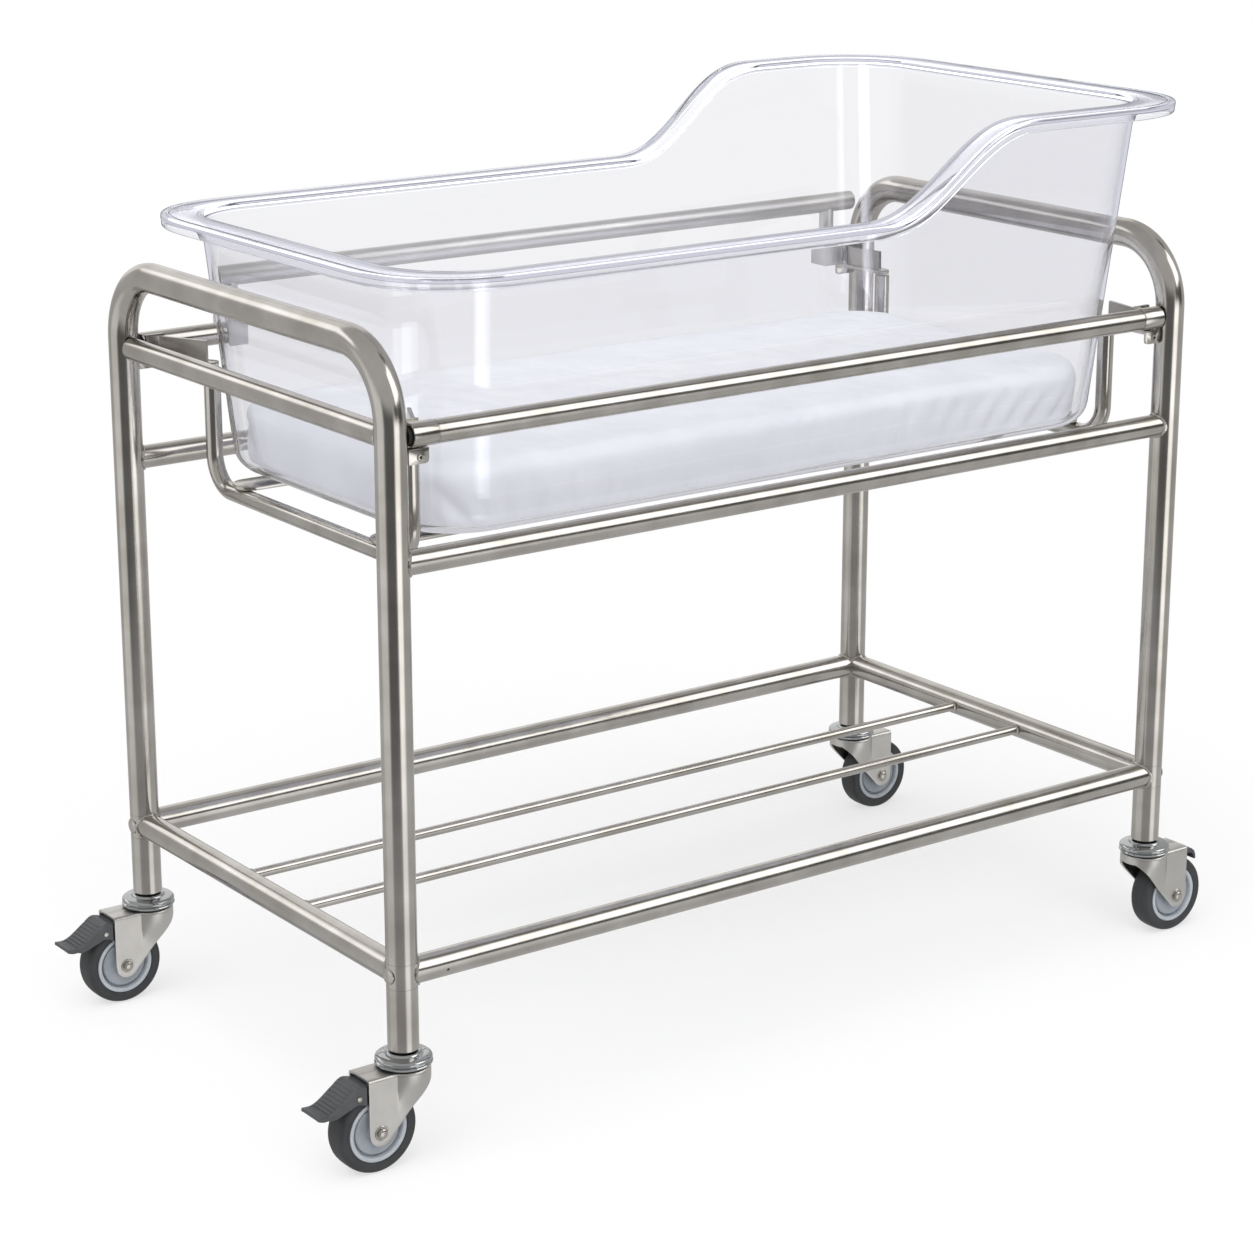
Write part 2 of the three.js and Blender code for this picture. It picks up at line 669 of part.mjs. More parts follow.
function tyreGeometry() {
  return turned(
    [[29.3, -11.4], [36.4, -12.2], [39.2, -10.4], [WHEEL_R, -7], [WHEEL_R, 7], [39.2, 10.4], [36.4, 12.2],
      [29.3, 11.4], [29.3, -11.4]],
    WHEEL_SIDES,
    "y",
    Math.PI / WHEEL_SIDES,
  ).translate(-WHEEL_TRAIL, 0, AXLE_Z);
}

function wheelCentreGeometry() {
  const low = [
    [AXLE_R + 0.3, -13.6], [8.6, -13.6], [10.4, -9], [21.8, -8.6], [23.4, -6.6], [25, -10.8], [29, -10.8],
  ];
  const high = low.map(([r, y]) => [r, -y]).reverse();
  const profile = [...low, ...high, low[0]];
  return turned(profile, 20, "y", Math.PI / 20).translate(-WHEEL_TRAIL, 0, AXLE_Z);
}

// Brake pedals: a sloped, ribbed tread with side webs outside the tyre, and a tongue on the pivot under the
// fork's crown.
function pedalGeometry(reach) {
  const tip = -reach;
  const halfWidth = 16.4;
  const tread = new THREE.Shape();
  tread.moveTo(-48, 86.6);
  tread.lineTo(-53, 86.4);
  tread.quadraticCurveTo(tip + 28, 84, tip + 12, 73.5);
  tread.lineTo(tip + 1, 72);
  tread.lineTo(tip, 70);
  tread.lineTo(tip + 1.4, 68.4);
  tread.lineTo(tip + 13, 69.4);
  tread.quadraticCurveTo(tip + 27, 79, -53, 82);
  tread.lineTo(-48, 82.2);
  const web = new THREE.Shape();
  web.moveTo(-48.2, 86);
  web.lineTo(-54, 85.6);
  web.quadraticCurveTo(tip + 28, 83.4, tip + 10, 71.5);
  web.lineTo(tip + 13, 66);
  web.quadraticCurveTo(-66, 72, -48.2, 72);
  const tongue = new THREE.Shape();
  tongue.moveTo(-38.6, 82.2);
  tongue.lineTo(-38, 84.4);
  tongue.lineTo(-38.6, 86.6);
  tongue.lineTo(-50, 86.6);
  tongue.lineTo(-50, 82.2);
  const top = new THREE.QuadraticBezierCurve(
    new THREE.Vector2(-53, 86.4), new THREE.Vector2(tip + 28, 84), new THREE.Vector2(tip + 12, 73.5),
  );
  const ribs = Array.from({ length: PEDAL_RIBS.count }, (_, i) => {
    const t = 0.1 + (0.8 * i) / (PEDAL_RIBS.count - 1);
    const at = top.getPoint(t);
    const run = top.getTangent(t);
    const corner = (a, b) => new THREE.Vector2(at.x + run.x * a + run.y * b, at.y + run.y * a - run.x * b);
    const rise = PEDAL_RIBS.height;
    const rib = new THREE.Shape([corner(-1.4, -1), corner(-1, rise), corner(1, rise), corner(1.4, -1)]);
    return plateXZ(rib, -PEDAL_RIBS.halfLength, PEDAL_RIBS.halfLength);
  });
  return union(
    ...ribs,
    plateXZ(tread, -halfWidth, halfWidth, 5),
    plateXZ(tongue, -13, 13),
    plateXZ(web, 13.4, halfWidth, 5),
    plateXZ(web, -halfWidth, -13.4, 5),
  );
}

// The short brake tab: a small lip that shows past the crown, on the same pivot tongue.
function tabGeometry() {
  const lip = new THREE.Shape();
  lip.moveTo(-38.6, 82.2);
  lip.lineTo(-38, 84.4);
  lip.lineTo(-38.6, 86.6);
  lip.lineTo(-52, 86.6);
  lip.lineTo(-60, 82);
  lip.lineTo(-61, 79);
  lip.lineTo(-58, 78.4);
  lip.lineTo(-51, 82.2);
  return plateXZ(lip, -13, 13);
}

const PEDALS = {
  front_foot: pedalGeometry(PEDAL_REACH),
  back_foot: pedalGeometry(PEDAL_REACH),
  front_head: tabGeometry(),
};
CORNERS.forEach(([corner, sx, sy]) => {
  const place = (geometry) => {
    if (sx > 0) geometry.rotateZ(Math.PI);
    return geometry.translate(sx * halfX, sy * halfY, 0);
  };
  addPart(`${corner}_caster_head`, place(swivelHead()), CHROME);
  addPart(`${corner}_caster_fork`, place(forkGeometry()), CHROME);
  addPart(`${corner}_caster_axle`, place(axleGeometry()), CHROME);
  addPart(`${corner}_caster_tyre`, place(tyreGeometry()), TYRE);
  addPart(`${corner}_caster_wheel`, place(wheelCentreGeometry()), WHEEL_GREY);
  if (PEDALS[corner]) addPart(`${corner}_brake_pedal`, place(PEDALS[corner]), PEDAL_GREY);
});

const part = new THREE.Group();
part.add(bassinet);
export default part;
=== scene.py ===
"""Looks of a hospital bassinet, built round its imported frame. Units are metres, and +Z is up."""

import logging
import math
from dataclasses import dataclass
from enum import Enum
from typing import Callable, Iterable, Sequence

import bmesh
import bpy
import numpy as np
from mathutils import Matrix, Vector


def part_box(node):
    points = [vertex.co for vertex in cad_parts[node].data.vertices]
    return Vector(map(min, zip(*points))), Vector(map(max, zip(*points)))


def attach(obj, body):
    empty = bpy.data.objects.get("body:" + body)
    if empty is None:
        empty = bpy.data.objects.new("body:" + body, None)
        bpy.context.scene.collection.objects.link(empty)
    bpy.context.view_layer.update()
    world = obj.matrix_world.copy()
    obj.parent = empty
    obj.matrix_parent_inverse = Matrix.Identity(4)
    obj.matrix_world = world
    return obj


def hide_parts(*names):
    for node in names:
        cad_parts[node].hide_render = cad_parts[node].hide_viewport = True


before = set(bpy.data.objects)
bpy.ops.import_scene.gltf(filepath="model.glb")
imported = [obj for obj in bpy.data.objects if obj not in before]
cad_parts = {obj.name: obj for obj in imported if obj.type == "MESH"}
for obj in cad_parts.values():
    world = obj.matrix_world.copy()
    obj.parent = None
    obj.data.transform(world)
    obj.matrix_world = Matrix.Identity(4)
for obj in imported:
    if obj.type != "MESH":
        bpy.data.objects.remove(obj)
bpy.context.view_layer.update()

MM = 0.001
WHITE = (1.0, 1.0, 1.0, 1.0)
TURN = 2 * math.pi
SMOOTH_ANGLE = math.radians(32)
log = logging.getLogger("bassinet")

Ring = list[Vector]
Profile = Sequence[tuple[float, float]]


class Axis(Enum):
    """A direction of the row frame."""

    X = 0
    Y = 1
    Z = 2

    @property
    def vector(self) -> Vector:
        """The unit vector of the direction."""
        return Vector([1.0 if i == self.value else 0.0 for i in range(3)])


class Corner(Enum):
    """A corner of the stand, with the signs of its X and its Y."""

    FRONT_FOOT = ("front_foot", -1, -1)
    FRONT_HEAD = ("front_head", 1, -1)
    BACK_FOOT = ("back_foot", -1, 1)
    BACK_HEAD = ("back_head", 1, 1)

    @property
    def label(self) -> str:
        """The start of the names of this corner's nodes."""
        return self.value[0]

    @property
    def end(self) -> int:
        """-1 at the foot and 1 at the head."""
        return self.value[1]

    @property
    def side(self) -> int:
        """-1 at the front and 1 at the back."""
        return self.value[2]


class RailEnd(Enum):
    """How a rail of the cradle ring ends at its leg."""

    # Before a leg, the black of a plug is painted shade for the gap there.
    SLEEVED = "a sleeve over a black plug"
    PLUGGED = "a black plug in a narrow gap"
    WELDED = "a weld bead"
    OPEN = "short of the leg, with its plug inside"


# Finishes


def linear(hex_colour: str) -> tuple[float, float, float, float]:
    """Turns an sRGB hex colour to a linear one.

    Args:
        hex_colour: The colour as "#RRGGBB".

    Returns:
        Red, green, blue and an alpha of 1.
    """
    parts = [int(hex_colour[i : i + 2], 16) / 255 for i in (1, 3, 5)]
    red, green, blue = (c / 12.92 if c <= 0.04045 else ((c + 0.055) / 1.055) ** 2.4 for c in parts)
    return red, green, blue, 1.0


def add_node(
    tree: bpy.types.NodeTree,
    kind: str,
    settings: dict[str, object] | None = None,
    values: dict[str | int, object] | None = None,
    links: dict[str | int, bpy.types.NodeSocket] | None = None,
) -> bpy.types.Node:
    """Adds a node with its settings and links.

    Args:
        tree: The node tree that the node goes into.
        kind: Blender's name of the node type.
        settings: Properties of the node.
        values: Constants on the node's inputs.
        links: Sockets that feed the node's inputs.

    Returns:
        The new node.
    """
    node = tree.nodes.new(kind)
    for key, value in (settings or {}).items():
        setattr(node, key, value)
    for key, value in (values or {}).items():
        node.inputs[key].default_value = value
    for key, socket in (links or {}).items():
        tree.links.new(socket, node.inputs[key])
    return node


def compute(
    tree: bpy.types.NodeTree, operation: str, *inputs: float | bpy.types.NodeSocket
) -> bpy.types.NodeSocket:
    """Adds a Math node.

    Args:
        tree: The node tree that the node goes into.
        operation: The node's operation.
        inputs: Its inputs, each a constant or a socket.

    Returns:
        The socket of its result.
    """
    values = {i: value for i, value in enumerate(inputs) if isinstance(value, (int, float))}
    links = {i: value for i, value in enumerate(inputs) if i not in values}
    node = add_node(tree, "ShaderNodeMath", {"operation": operation}, values, links)
    return node.outputs[0]


@dataclass(frozen=True)
class Finish:
    """A surface finish, which makes its material once."""

    name: str

    def material(self) -> bpy.types.Material:
        """The finish's material, made at its first use."""
        made = bpy.data.materials.get(self.name)
        if made is None:
            made = bpy.data.materials.new(self.name)
            made.use_nodes = True
            made.node_tree.nodes.clear()
            self.paint(made.node_tree)
        return made

    def paint(self, tree: bpy.types.NodeTree) -> None:
        """Fills the material's node tree."""
        raise NotImplementedError

    def show(self, tree: bpy.types.NodeTree, surface: bpy.types.NodeSocket) -> bpy.types.Node:
        """Joins a shader to the material's output, which it returns."""
        return add_node(tree, "ShaderNodeOutputMaterial", links={"Surface": surface})

    def noise(
        self, tree: bpy.types.NodeTree, source: str, size_mm: Sequence[float], detail: float = 2.0
    ) -> bpy.types.NodeSocket:
        """A noise whose grains have a real size.

        Args:
            tree: The material's node tree.
            source: The Texture Coordinate output that places it.
            size_mm: The size of a grain along each axis.
            detail: How many finer layers it has.

        Returns:
            The socket of the noise's height, from 0 to 1.
        """
        place = add_node(tree, "ShaderNodeTexCoord")
        scale = [1 / (size * MM) for size in size_mm]
        mapping = add_node(
            tree, "ShaderNodeMapping", values={"Scale": scale}, links={"Vector": place.outputs[source]}
        )
        grains = add_node(
            tree, "ShaderNodeTexNoise", values={"Scale": 1.0, "Detail": detail},
            links={"Vector": mapping.outputs[0]},
        )
        return grains.outputs["Fac"]

    def spread(
        self, tree: bpy.types.NodeTree, height: bpy.types.NodeSocket, low: float, high: float
    ) -> bpy.types.NodeSocket:
        """Spreads a height over a range of values, which it returns as a socket."""
        node = add_node(
            tree, "ShaderNodeMapRange",
            values={"From Min": 0.25, "From Max": 0.75, "To Min": low, "To Max": high},
            links={"Value": height},
        )
        return node.outputs["Result"]

    def relief(
        self, tree: bpy.types.NodeTree, height: bpy.types.NodeSocket, depth_mm: float, strength: float = 1.0
    ) -> bpy.types.NodeSocket:
        """A surface relief of a real depth, returned as a normal socket."""
        node = add_node(
            tree, "ShaderNodeBump", values={"Strength": strength, "Distance": depth_mm * MM},
            links={"Height": height},
        )
        return node.outputs["Normal"]

    def tint(
        self, tree: bpy.types.NodeTree, height: bpy.types.NodeSocket, dark: str, light: str
    ) -> bpy.types.NodeSocket:
        """A colour that drifts between two tones with a height, returned as a socket."""
        ramp = add_node(tree, "ShaderNodeValToRGB", links={"Fac": height})
        ramp.color_ramp.elements[0].position = 0.3
        ramp.color_ramp.elements[1].position = 0.7
        ramp.color_ramp.elements[0].color = linear(dark)
        ramp.color_ramp.elements[1].color = linear(light)
        return ramp.outputs["Color"]


@dataclass(frozen=True)
class Metal(Finish):
    """A metal with belt or plating marks.

    Stainless tube is polished lengthwise with a belt, so its reflections are long clear stripes with a slight
    lengthwise grain. Chrome plate is a near mirror with a cold tone. Zinc-plated stamped steel is a satin grey.
    Real belt lines are some 0.05 mm wide: grain_mm draws them as coarse as they need to be to show.
    """

    dark: str = "#BBB6AF"
    light: str = "#C6C2BC"
    smooth: float = 0.14
    rough: float = 0.24
    grain_mm: float = 0.9
    streak_mm: float = 80.0
    smudge_mm: float = 40.0
    depth_mm: float = 0.004

    def paint(self, tree: bpy.types.NodeTree) -> None:
        """Fills the material's node tree."""
        grain = self.noise(tree, "UV", (self.grain_mm, self.streak_mm, 1000.0))
        smudge = self.noise(tree, "Object", (self.smudge_mm,) * 3)
        shader = add_node(
            tree, "ShaderNodeBsdfPrincipled", values={"Metallic": 1.0},
            links={
                "Base Color": self.tint(tree, smudge, self.dark, self.light),
                "Roughness": self.spread(tree, grain, self.smooth, self.rough),
                "Normal": self.relief(tree, grain, self.depth_mm),
            },
        )
        self.show(tree, shader.outputs[0])


@dataclass(frozen=True)
class Moulded(Finish):
    """A moulded plastic or rubber with a fine spark-eroded grain.

    Nylon and polypropylene give a soft broad gloss over a grain of about a quarter millimetre, and rubber a
    duller one with paler scuffs.
    """

    dark: str = "#505255"
    light: str = "#5C5E61"
    smooth: float = 0.42
    rough: float = 0.56
    grain_mm: float = 0.5
    drift_mm: float = 18.0
    depth_mm: float = 0.02
    ior: float = 1.5

    def paint(self, tree: bpy.types.NodeTree) -> None:
        """Fills the material's node tree."""
        grain = self.noise(tree, "Object", (self.grain_mm,) * 3)
        drift = self.noise(tree, "Object", (self.drift_mm,) * 3, 3.0)
        shader = add_node(
            tree, "ShaderNodeBsdfPrincipled", values={"IOR": self.ior},
            links={
                "Base Color": self.tint(tree, drift, self.dark, self.light),
                "Roughness": self.spread(tree, drift, self.smooth, self.rough),
                "Normal": self.relief(tree, grain, self.depth_mm),
            },
        )
        self.show(tree, shader.outputs[0])


@dataclass(frozen=True)
class ClearPlastic(Finish):
    """Vacuum-formed clear copolyester: glass-clear and faintly wavy, with cold lavender lines along its edges.

    Soft light and shadows go straight through the sheet. Light that its edges would hold inside leaves it at the
    next surface, so that they show the pale room, as the edges of a sheet in a white studio do.
    """

    ior: float = 1.49
    body: str = "#F6F6F8"
    edge: str = "#D6D8EA"
    density: float = 4.0
    wave_mm: float = 90.0
    depth_mm: float = 0.05

    def paint(self, tree: bpy.types.NodeTree) -> None:
        """Fills the material's node tree: clear plastic with a faint absorption inside it."""
        wave = self.noise(tree, "Object", (self.wave_mm,) * 3, 1.0)
        glass = add_node(
            tree, "ShaderNodeBsdfPrincipled",
            values={
                "Base Color": linear(self.body), "Roughness": 0.0, "IOR": self.ior, "Transmission Weight": 1.0,
            },
            links={"Normal": self.relief(tree, wave, self.depth_mm)},
        )
        passing = add_node(tree, "ShaderNodeBsdfTransparent", values={"Color": linear("#F9F9FA")})
        path = add_node(tree, "ShaderNodeLightPath")

        def choose(ray: str, other: bpy.types.Node, chosen: bpy.types.Node) -> bpy.types.Node:
            """One shader for a kind of ray and another one for the rest."""
            links = {0: path.outputs[ray], 1: other.outputs[0], 2: chosen.outputs[0]}
            return add_node(tree, "ShaderNodeMixShader", links=links)

        held = choose("Is Transmission Ray", passing, glass)
        clear = choose("Is Glossy Ray", glass, held)
        clear = choose("Is Diffuse Ray", clear, passing)
        clear = choose("Is Shadow Ray", clear, passing)
        inside = add_node(
            tree, "ShaderNodeVolumeAbsorption", values={"Color": linear(self.edge), "Density": self.density}
        )
        output = self.show(tree, clear.outputs[0])
        tree.links.new(inside.outputs[0], output.inputs["Volume"])


@dataclass(frozen=True)
class CottonSheet(Finish):
    """Plain-woven cotton sheeting: matt white with a soft bloom, a faint lavender cast and a fine weave.

    Its threads are about 0.35 mm apart: thread_mm draws them as coarse as they need to be to show.
    """

    dark: str = "#ECEEF3"
    light: str = "#F4F6FA"
    thread_mm: float = 1.1
    crumple_mm: float = 55.0
    depth_mm: float = 0.05
    wrinkle_mm: tuple[float, float, float] = (24.0, 30.0, 40.0)
    wrinkle_depth_mm: float = 5.0

    def threads(self, tree: bpy.types.NodeTree, direction: str) -> bpy.types.NodeSocket:
        """Waves as far apart as the threads in one direction, returned as a socket."""
        place = add_node(tree, "ShaderNodeTexCoord")
        node = add_node(
            tree, "ShaderNodeTexWave", settings={"bands_direction": direction},
            values={"Scale": TURN / 20 / (self.thread_mm * MM), "Distortion": 0.6, "Detail Scale": 2.0},
            links={"Vector": place.outputs["Object"]},
        )
        return node.outputs["Fac"]

    def paint(self, tree: bpy.types.NodeTree) -> None:
        """Fills the material's node tree."""
        crumple = self.noise(tree, "Object", (self.crumple_mm,) * 3, 3.0)
        weave = compute(tree, "ADD", self.threads(tree, "X"), self.threads(tree, "Y"))
        wrinkle = self.noise(tree, "Object", self.wrinkle_mm, 2.0)
        cloth = compute(tree, "MULTIPLY_ADD", wrinkle, self.wrinkle_depth_mm / self.depth_mm, weave)
        shader = add_node(
            tree, "ShaderNodeBsdfPrincipled",
            values={"Roughness": 0.92, "Sheen Weight": 0.25, "Sheen Roughness": 0.5, "IOR": 1.45},
            links={
                "Base Color": self.tint(tree, crumple, self.dark, self.light),
                "Normal": self.relief(tree, cloth, self.depth_mm, 0.5),
            },
        )
        self.show(tree, shader.outputs[0])


STAINLESS = Metal("belt_polished_stainless", "#B5B1AB", "#C9C6C2", 0.12, 0.24, 0.9, 80.0, 40.0, 0.007)
WELD = Metal("stainless_weld", "#B8B4AE", "#C8C4BF", 0.14, 0.24, 1.2, 1.2, 6.0, 0.012)
# Rougher and far paler than the polished tube: the paleness is painted light for the haze of the tub's walls in
# front of the raised rail.
SATIN_PAINTED_HAZE = Metal("satin_stainless_painted_haze", "#E8E7E6", "#F0EFEE", 0.4, 0.5)
# Darker steel: painted shade for the fine seam grooves on the legs.
PAINTED_SEAM_SHADE = Metal("stainless_seam_painted_shade", "#9A9691", "#A6A29D", 0.3, 0.45)
# Dark steel: painted shade for the gap round each leg bolt's dome.
PAINTED_GROOVE_SHADE = Metal("shadowed_stainless_groove", "#5E5B57", "#6A6763", 0.4, 0.5)
CHROME = Metal("bright_chrome_plate", "#ABADAF", "#B9BBBD", 0.06, 0.1, 1.5, 60.0, 30.0, 0.0005)
ZINC = Metal("satin_zinc_plate", "#C9C7C4", "#D2D0CD", 0.32, 0.4, 0.7, 14.0, 22.0, 0.0006)
TYRE = Moulded("grey_tyre_rubber", "#2A2B2D", "#343638", 0.45, 0.6, 0.45, 14.0, 0.03)
RIM = Moulded("light_grey_polypropylene", "#A0A6AD", "#ACB2B8", 0.3, 0.38, 0.4, 20.0, 0.008)
DISC = Moulded("mid_grey_polypropylene", "#878D94", "#959BA2", 0.3, 0.4, 0.4, 20.0, 0.008)
PEDAL = Moulded("ribbed_dark_grey_nylon", "#3E4042", "#494B4E", 0.4, 0.52, 0.5, 12.0, 0.03)
RUBBER = Moulded("black_pad_rubber", "#222326", "#2D2E31", 0.6, 0.75, 0.5, 12.0, 0.03)
# Black, for the plug in each rail end and for painted shade: in the rail gaps, the vent hole, the screw sockets and
# the caster heads' gaps.
BLACK_PLUG_AND_SHADE = Moulded("black_plug_and_painted_shade", "#0E0E0F", "#171718", 0.45, 0.6, 0.5, 10.0, 0.01)
CLEAR = ClearPlastic("clear_copolyester")
COTTON = CottonSheet("white_cotton_sheeting")


# Meshes


class Skin:
    """A mesh under construction: bands of quads with a UV map in metres and a finish for each band."""

    def __init__(self) -> None:
        """Starts an empty mesh."""
        self.points: list[Vector] = []
        self.faces: list[list[int]] = []
        self.uvs: list[tuple[float, float]] = []
        self.slots: list[int] = []

    def band(
        self, rings: Sequence[Ring], slot: int = 0, caps: tuple[bool, bool] = (False, False), loop: bool = True
    ) -> None:
        """Joins rings of points by quads.

        Args:
            rings: Rings with the same number of points.
            slot: The finish of the band.
            caps: Whether the first and the last ring are filled.
            loop: Whether each ring closes on itself.
        """
        start, count = len(self.points), len(rings[0])
        steps = count if loop else count - 1
        self.points.extend(p for ring in rings for p in ring)
        girth = [0.0]
        for i in range(steps):
            girth.append(girth[-1] + (rings[0][(i + 1) % count] - rings[0][i]).length)
        along = 0.0
        for k in range(len(rings) - 1):
            length = sum((b - a).length for a, b in zip(rings[k], rings[k + 1])) / count
            low, high = start + k * count, start + (k + 1) * count
            for i in range(steps):
                j = (i + 1) % count
                self.faces.append([low + i, low + j, high + j, high + i])
                self.slots.append(slot)
                left, right = girth[i], girth[i + 1]
                self.uvs += [(left, along), (right, along), (right, along + length), (left, along + length)]
            along += length
        for filled, first in zip(caps, (start, start + (len(rings) - 1) * count)):
            if filled:
                face = list(range(first, first + count))
                self.faces.append(face[::-1] if first == start else face)
                self.slots.append(slot)
                self.uvs += [(self.points[i].x, self.points[i].y) for i in self.faces[-1]]

    def piece(self, name: str, *finishes: Finish, place: Matrix | None = None) -> bpy.types.Object:
        """Makes the mesh's object.

        Args:
            name: The object's name.
            finishes: The finishes that the bands' slots count through.
            place: Where the mesh goes, if it isn't drawn in place.

        Returns:
            The new object, with its faces pointing out.
        """
        mesh = bpy.data.meshes.new(name)
        mesh.from_pydata(self.points, [], self.faces)
        layer = mesh.uv_layers.new(name="brush")
        layer.data.foreach_set("uv", np.array(self.uvs, np.float32).ravel())
        mesh.polygons.foreach_set("material_index", self.slots)
        if place is not None:
            mesh.transform(place)
        return finished(name, mesh, finishes)


def finished(
    name: str, mesh: bpy.types.Mesh, finishes: Iterable[Finish], merge: float = 1e-6
) -> bpy.types.Object:
    """Welds a mesh, turns its faces out, smooths its gentle edges and gives it its finishes.

    Args:
        name: The object's name.
        mesh: The mesh, in place.
        finishes: The finishes of its material slots.
        merge: The distance within which points are joined.

    Returns:
        The new object.
    """
    shape = bmesh.new()
    shape.from_mesh(mesh)
    bmesh.ops.remove_doubles(shape, verts=shape.verts, dist=merge)
    bmesh.ops.recalc_face_normals(shape, faces=shape.faces)
    shape.to_mesh(mesh)
    shape.free()
    for finish in finishes:
        mesh.materials.append(finish.material())
    mesh.shade_smooth()
    mesh.set_sharp_from_angle(angle=SMOOTH_ANGLE)
    piece = bpy.data.objects.new(name, mesh)
    bpy.context.scene.collection.objects.link(piece)
    return piece


def settle(piece: bpy.types.Object, body: str, slot: str, *nodes: str) -> bpy.types.Object:
    """Puts a piece on its body, hides the nodes that it replaces, and reports it.

    Args:
        piece: The new object.
        body: The body it rides on.
        slot: Not used.
        nodes: The nodes that it replaces.

    Returns:
        The same object.
    """
    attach(piece, body)
    if nodes:
        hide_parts(*nodes)
    log.info("%s on %s, %d faces", piece.name, body, len(piece.data.polygons))
    return piece


def refined(node: str, finish: Finish, bevel_mm: float, along: Axis) -> bpy.types.Object:
    """A copy of a node with its flats joined, its edges rounded and a UV map along its grain.

    Args:
        node: The node's name.
        finish: The copy's finish.
        bevel_mm: The radius of its edges.
        along: The direction of the grain.

    Returns:
        The new object.
    """
    name = f"{node}_skin"
    mesh = bpy.data.meshes.new(name)
    shape = bmesh.new()
    shape.from_mesh(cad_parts[node].data)
    bmesh.ops.remove_doubles(shape, verts=shape.verts, dist=0.01 * MM)
    bmesh.ops.dissolve_limit(shape, angle_limit=math.radians(1), verts=shape.verts, edges=shape.edges)
    sharp = [e for e in shape.edges if len(e.link_faces) == 2 and e.calc_face_angle() > math.radians(50)]
    bmesh.ops.bevel(
        shape, geom=sharp, offset=bevel_mm * MM, segments=2, profile=0.5, affect="EDGES", clamp_overlap=True
    )
    layer = shape.loops.layers.uv.new("brush")
    across = [i for i in range(3) if i != along.value]
    for face in shape.faces:
        for corner in face.loops:
            spot = corner.vert.co
            corner[layer].uv = (spot[across[0]] + spot[across[1]], spot[along.value])
    shape.to_mesh(mesh)
    shape.free()
    return finished(name, mesh, [finish])


def turned_rings(profile: Profile, sides: int, axis: Axis, centre: Vector) -> list[Ring]:
    """Rings of a turned piece.

    Args:
        profile: Radius and position along the axis, in millimetres.
        sides: The points of a ring.
        axis: The axis it is turned about.
        centre: A point of the axis, in metres.

    Returns:
        One ring for each point of the profile.
    """
    main = axis.vector
    first = Axis((axis.value + 1) % 3).vector
    second = Axis((axis.value + 2) % 3).vector
    rings = []
    for radius, height in profile:
        spokes = [TURN * i / sides for i in range(sides)]
        rings.append(
            [
                centre + main * height * MM + (first * math.cos(a) + second * math.sin(a)) * radius * MM
                for a in spokes
            ]
        )
    return rings


def bent_path(corners: Sequence[Vector], bend: float, steps: int) -> list[tuple[Vector, Vector]]:
    """Points and directions of a tube's axis: straight runs with rounded corners.

    Args:
        corners: The corners of the axis.
        bend: The radius of its bends.
        steps: The steps of a bend.

    Returns:
        Pairs of a point and the direction there.
    """
    path = [(corners[0], (corners[1] - corners[0]).normalized())]
    for before, corner, after in zip(corners, corners[1:], corners[2:]):
        into, out = (corner - before).normalized(), (after - corner).normalized()
        turn = into.angle(out)
        side = (out - into * into.dot(out)).normalized()
        start = corner - into * bend * math.tan(turn / 2)
        for step in range(steps + 1):
            a = turn * step / steps
            spot = start + into * bend * math.sin(a) + side * bend * (1 - math.cos(a))
            path.append((spot, into * math.cos(a) + side * math.sin(a)))
    path.append((corners[-1], path[-1][1]))
    return path


def round_ring(centre: Vector, along: Vector, flat: Vector, radius: float, sides: int) -> Ring:
    """A ring round a tube's axis.

    Args:
        centre: The ring's centre.
        along: The axis there.
        flat: A direction square to the axis.
        radius: The ring's radius.
        sides: Its points.

    Returns:
        The ring's points.
    """
    other = along.cross(flat).normalized()
    spokes = [TURN * i / sides for i in range(sides)]
    return [centre + (flat * math.cos(a) + other * math.sin(a)) * radius for a in spokes]


def tube(
    skin: Skin, path: Sequence[tuple[Vector, Vector]], flat: Vector, radius: float, wall: float, sides: int = 40
) -> None:
    """Adds a tube along a path to a mesh, hollow where it has a wall, with eased ends.

    Args:
        skin: The mesh.
        path: Points and directions of the axis.
        flat: A direction square to the whole path.
        radius: The outer radius.
        wall: The wall's thickness, or 0 for a solid bar.
        sides: The points of a ring.
    """
    ease = 0.6 * MM
    (start, first), (stop, last) = path[0], path[-1]
    inner = radius - wall if wall else 0.4 * radius
    rings = [round_ring(start, first, flat, inner, sides), round_ring(start, first, flat, radius - ease, sides)]
    rings.append(round_ring(start + first * ease, first, flat, radius, sides))
    rings += [round_ring(spot, along, flat, radius, sides) for spot, along in path[1:-1]]
    rings.append(round_ring(stop - last * ease, last, flat, radius, sides))
    rings.append(round_ring(stop, last, flat, radius - ease, sides))
    rings.append(round_ring(stop, last, flat, inner, sides))
    if wall:
        rings += [round_ring(spot, along, flat, inner, sides) for spot, along in reversed(path)]
        skin.band(rings)
    else:
        skin.band(rings, caps=(True, True))


# Stand


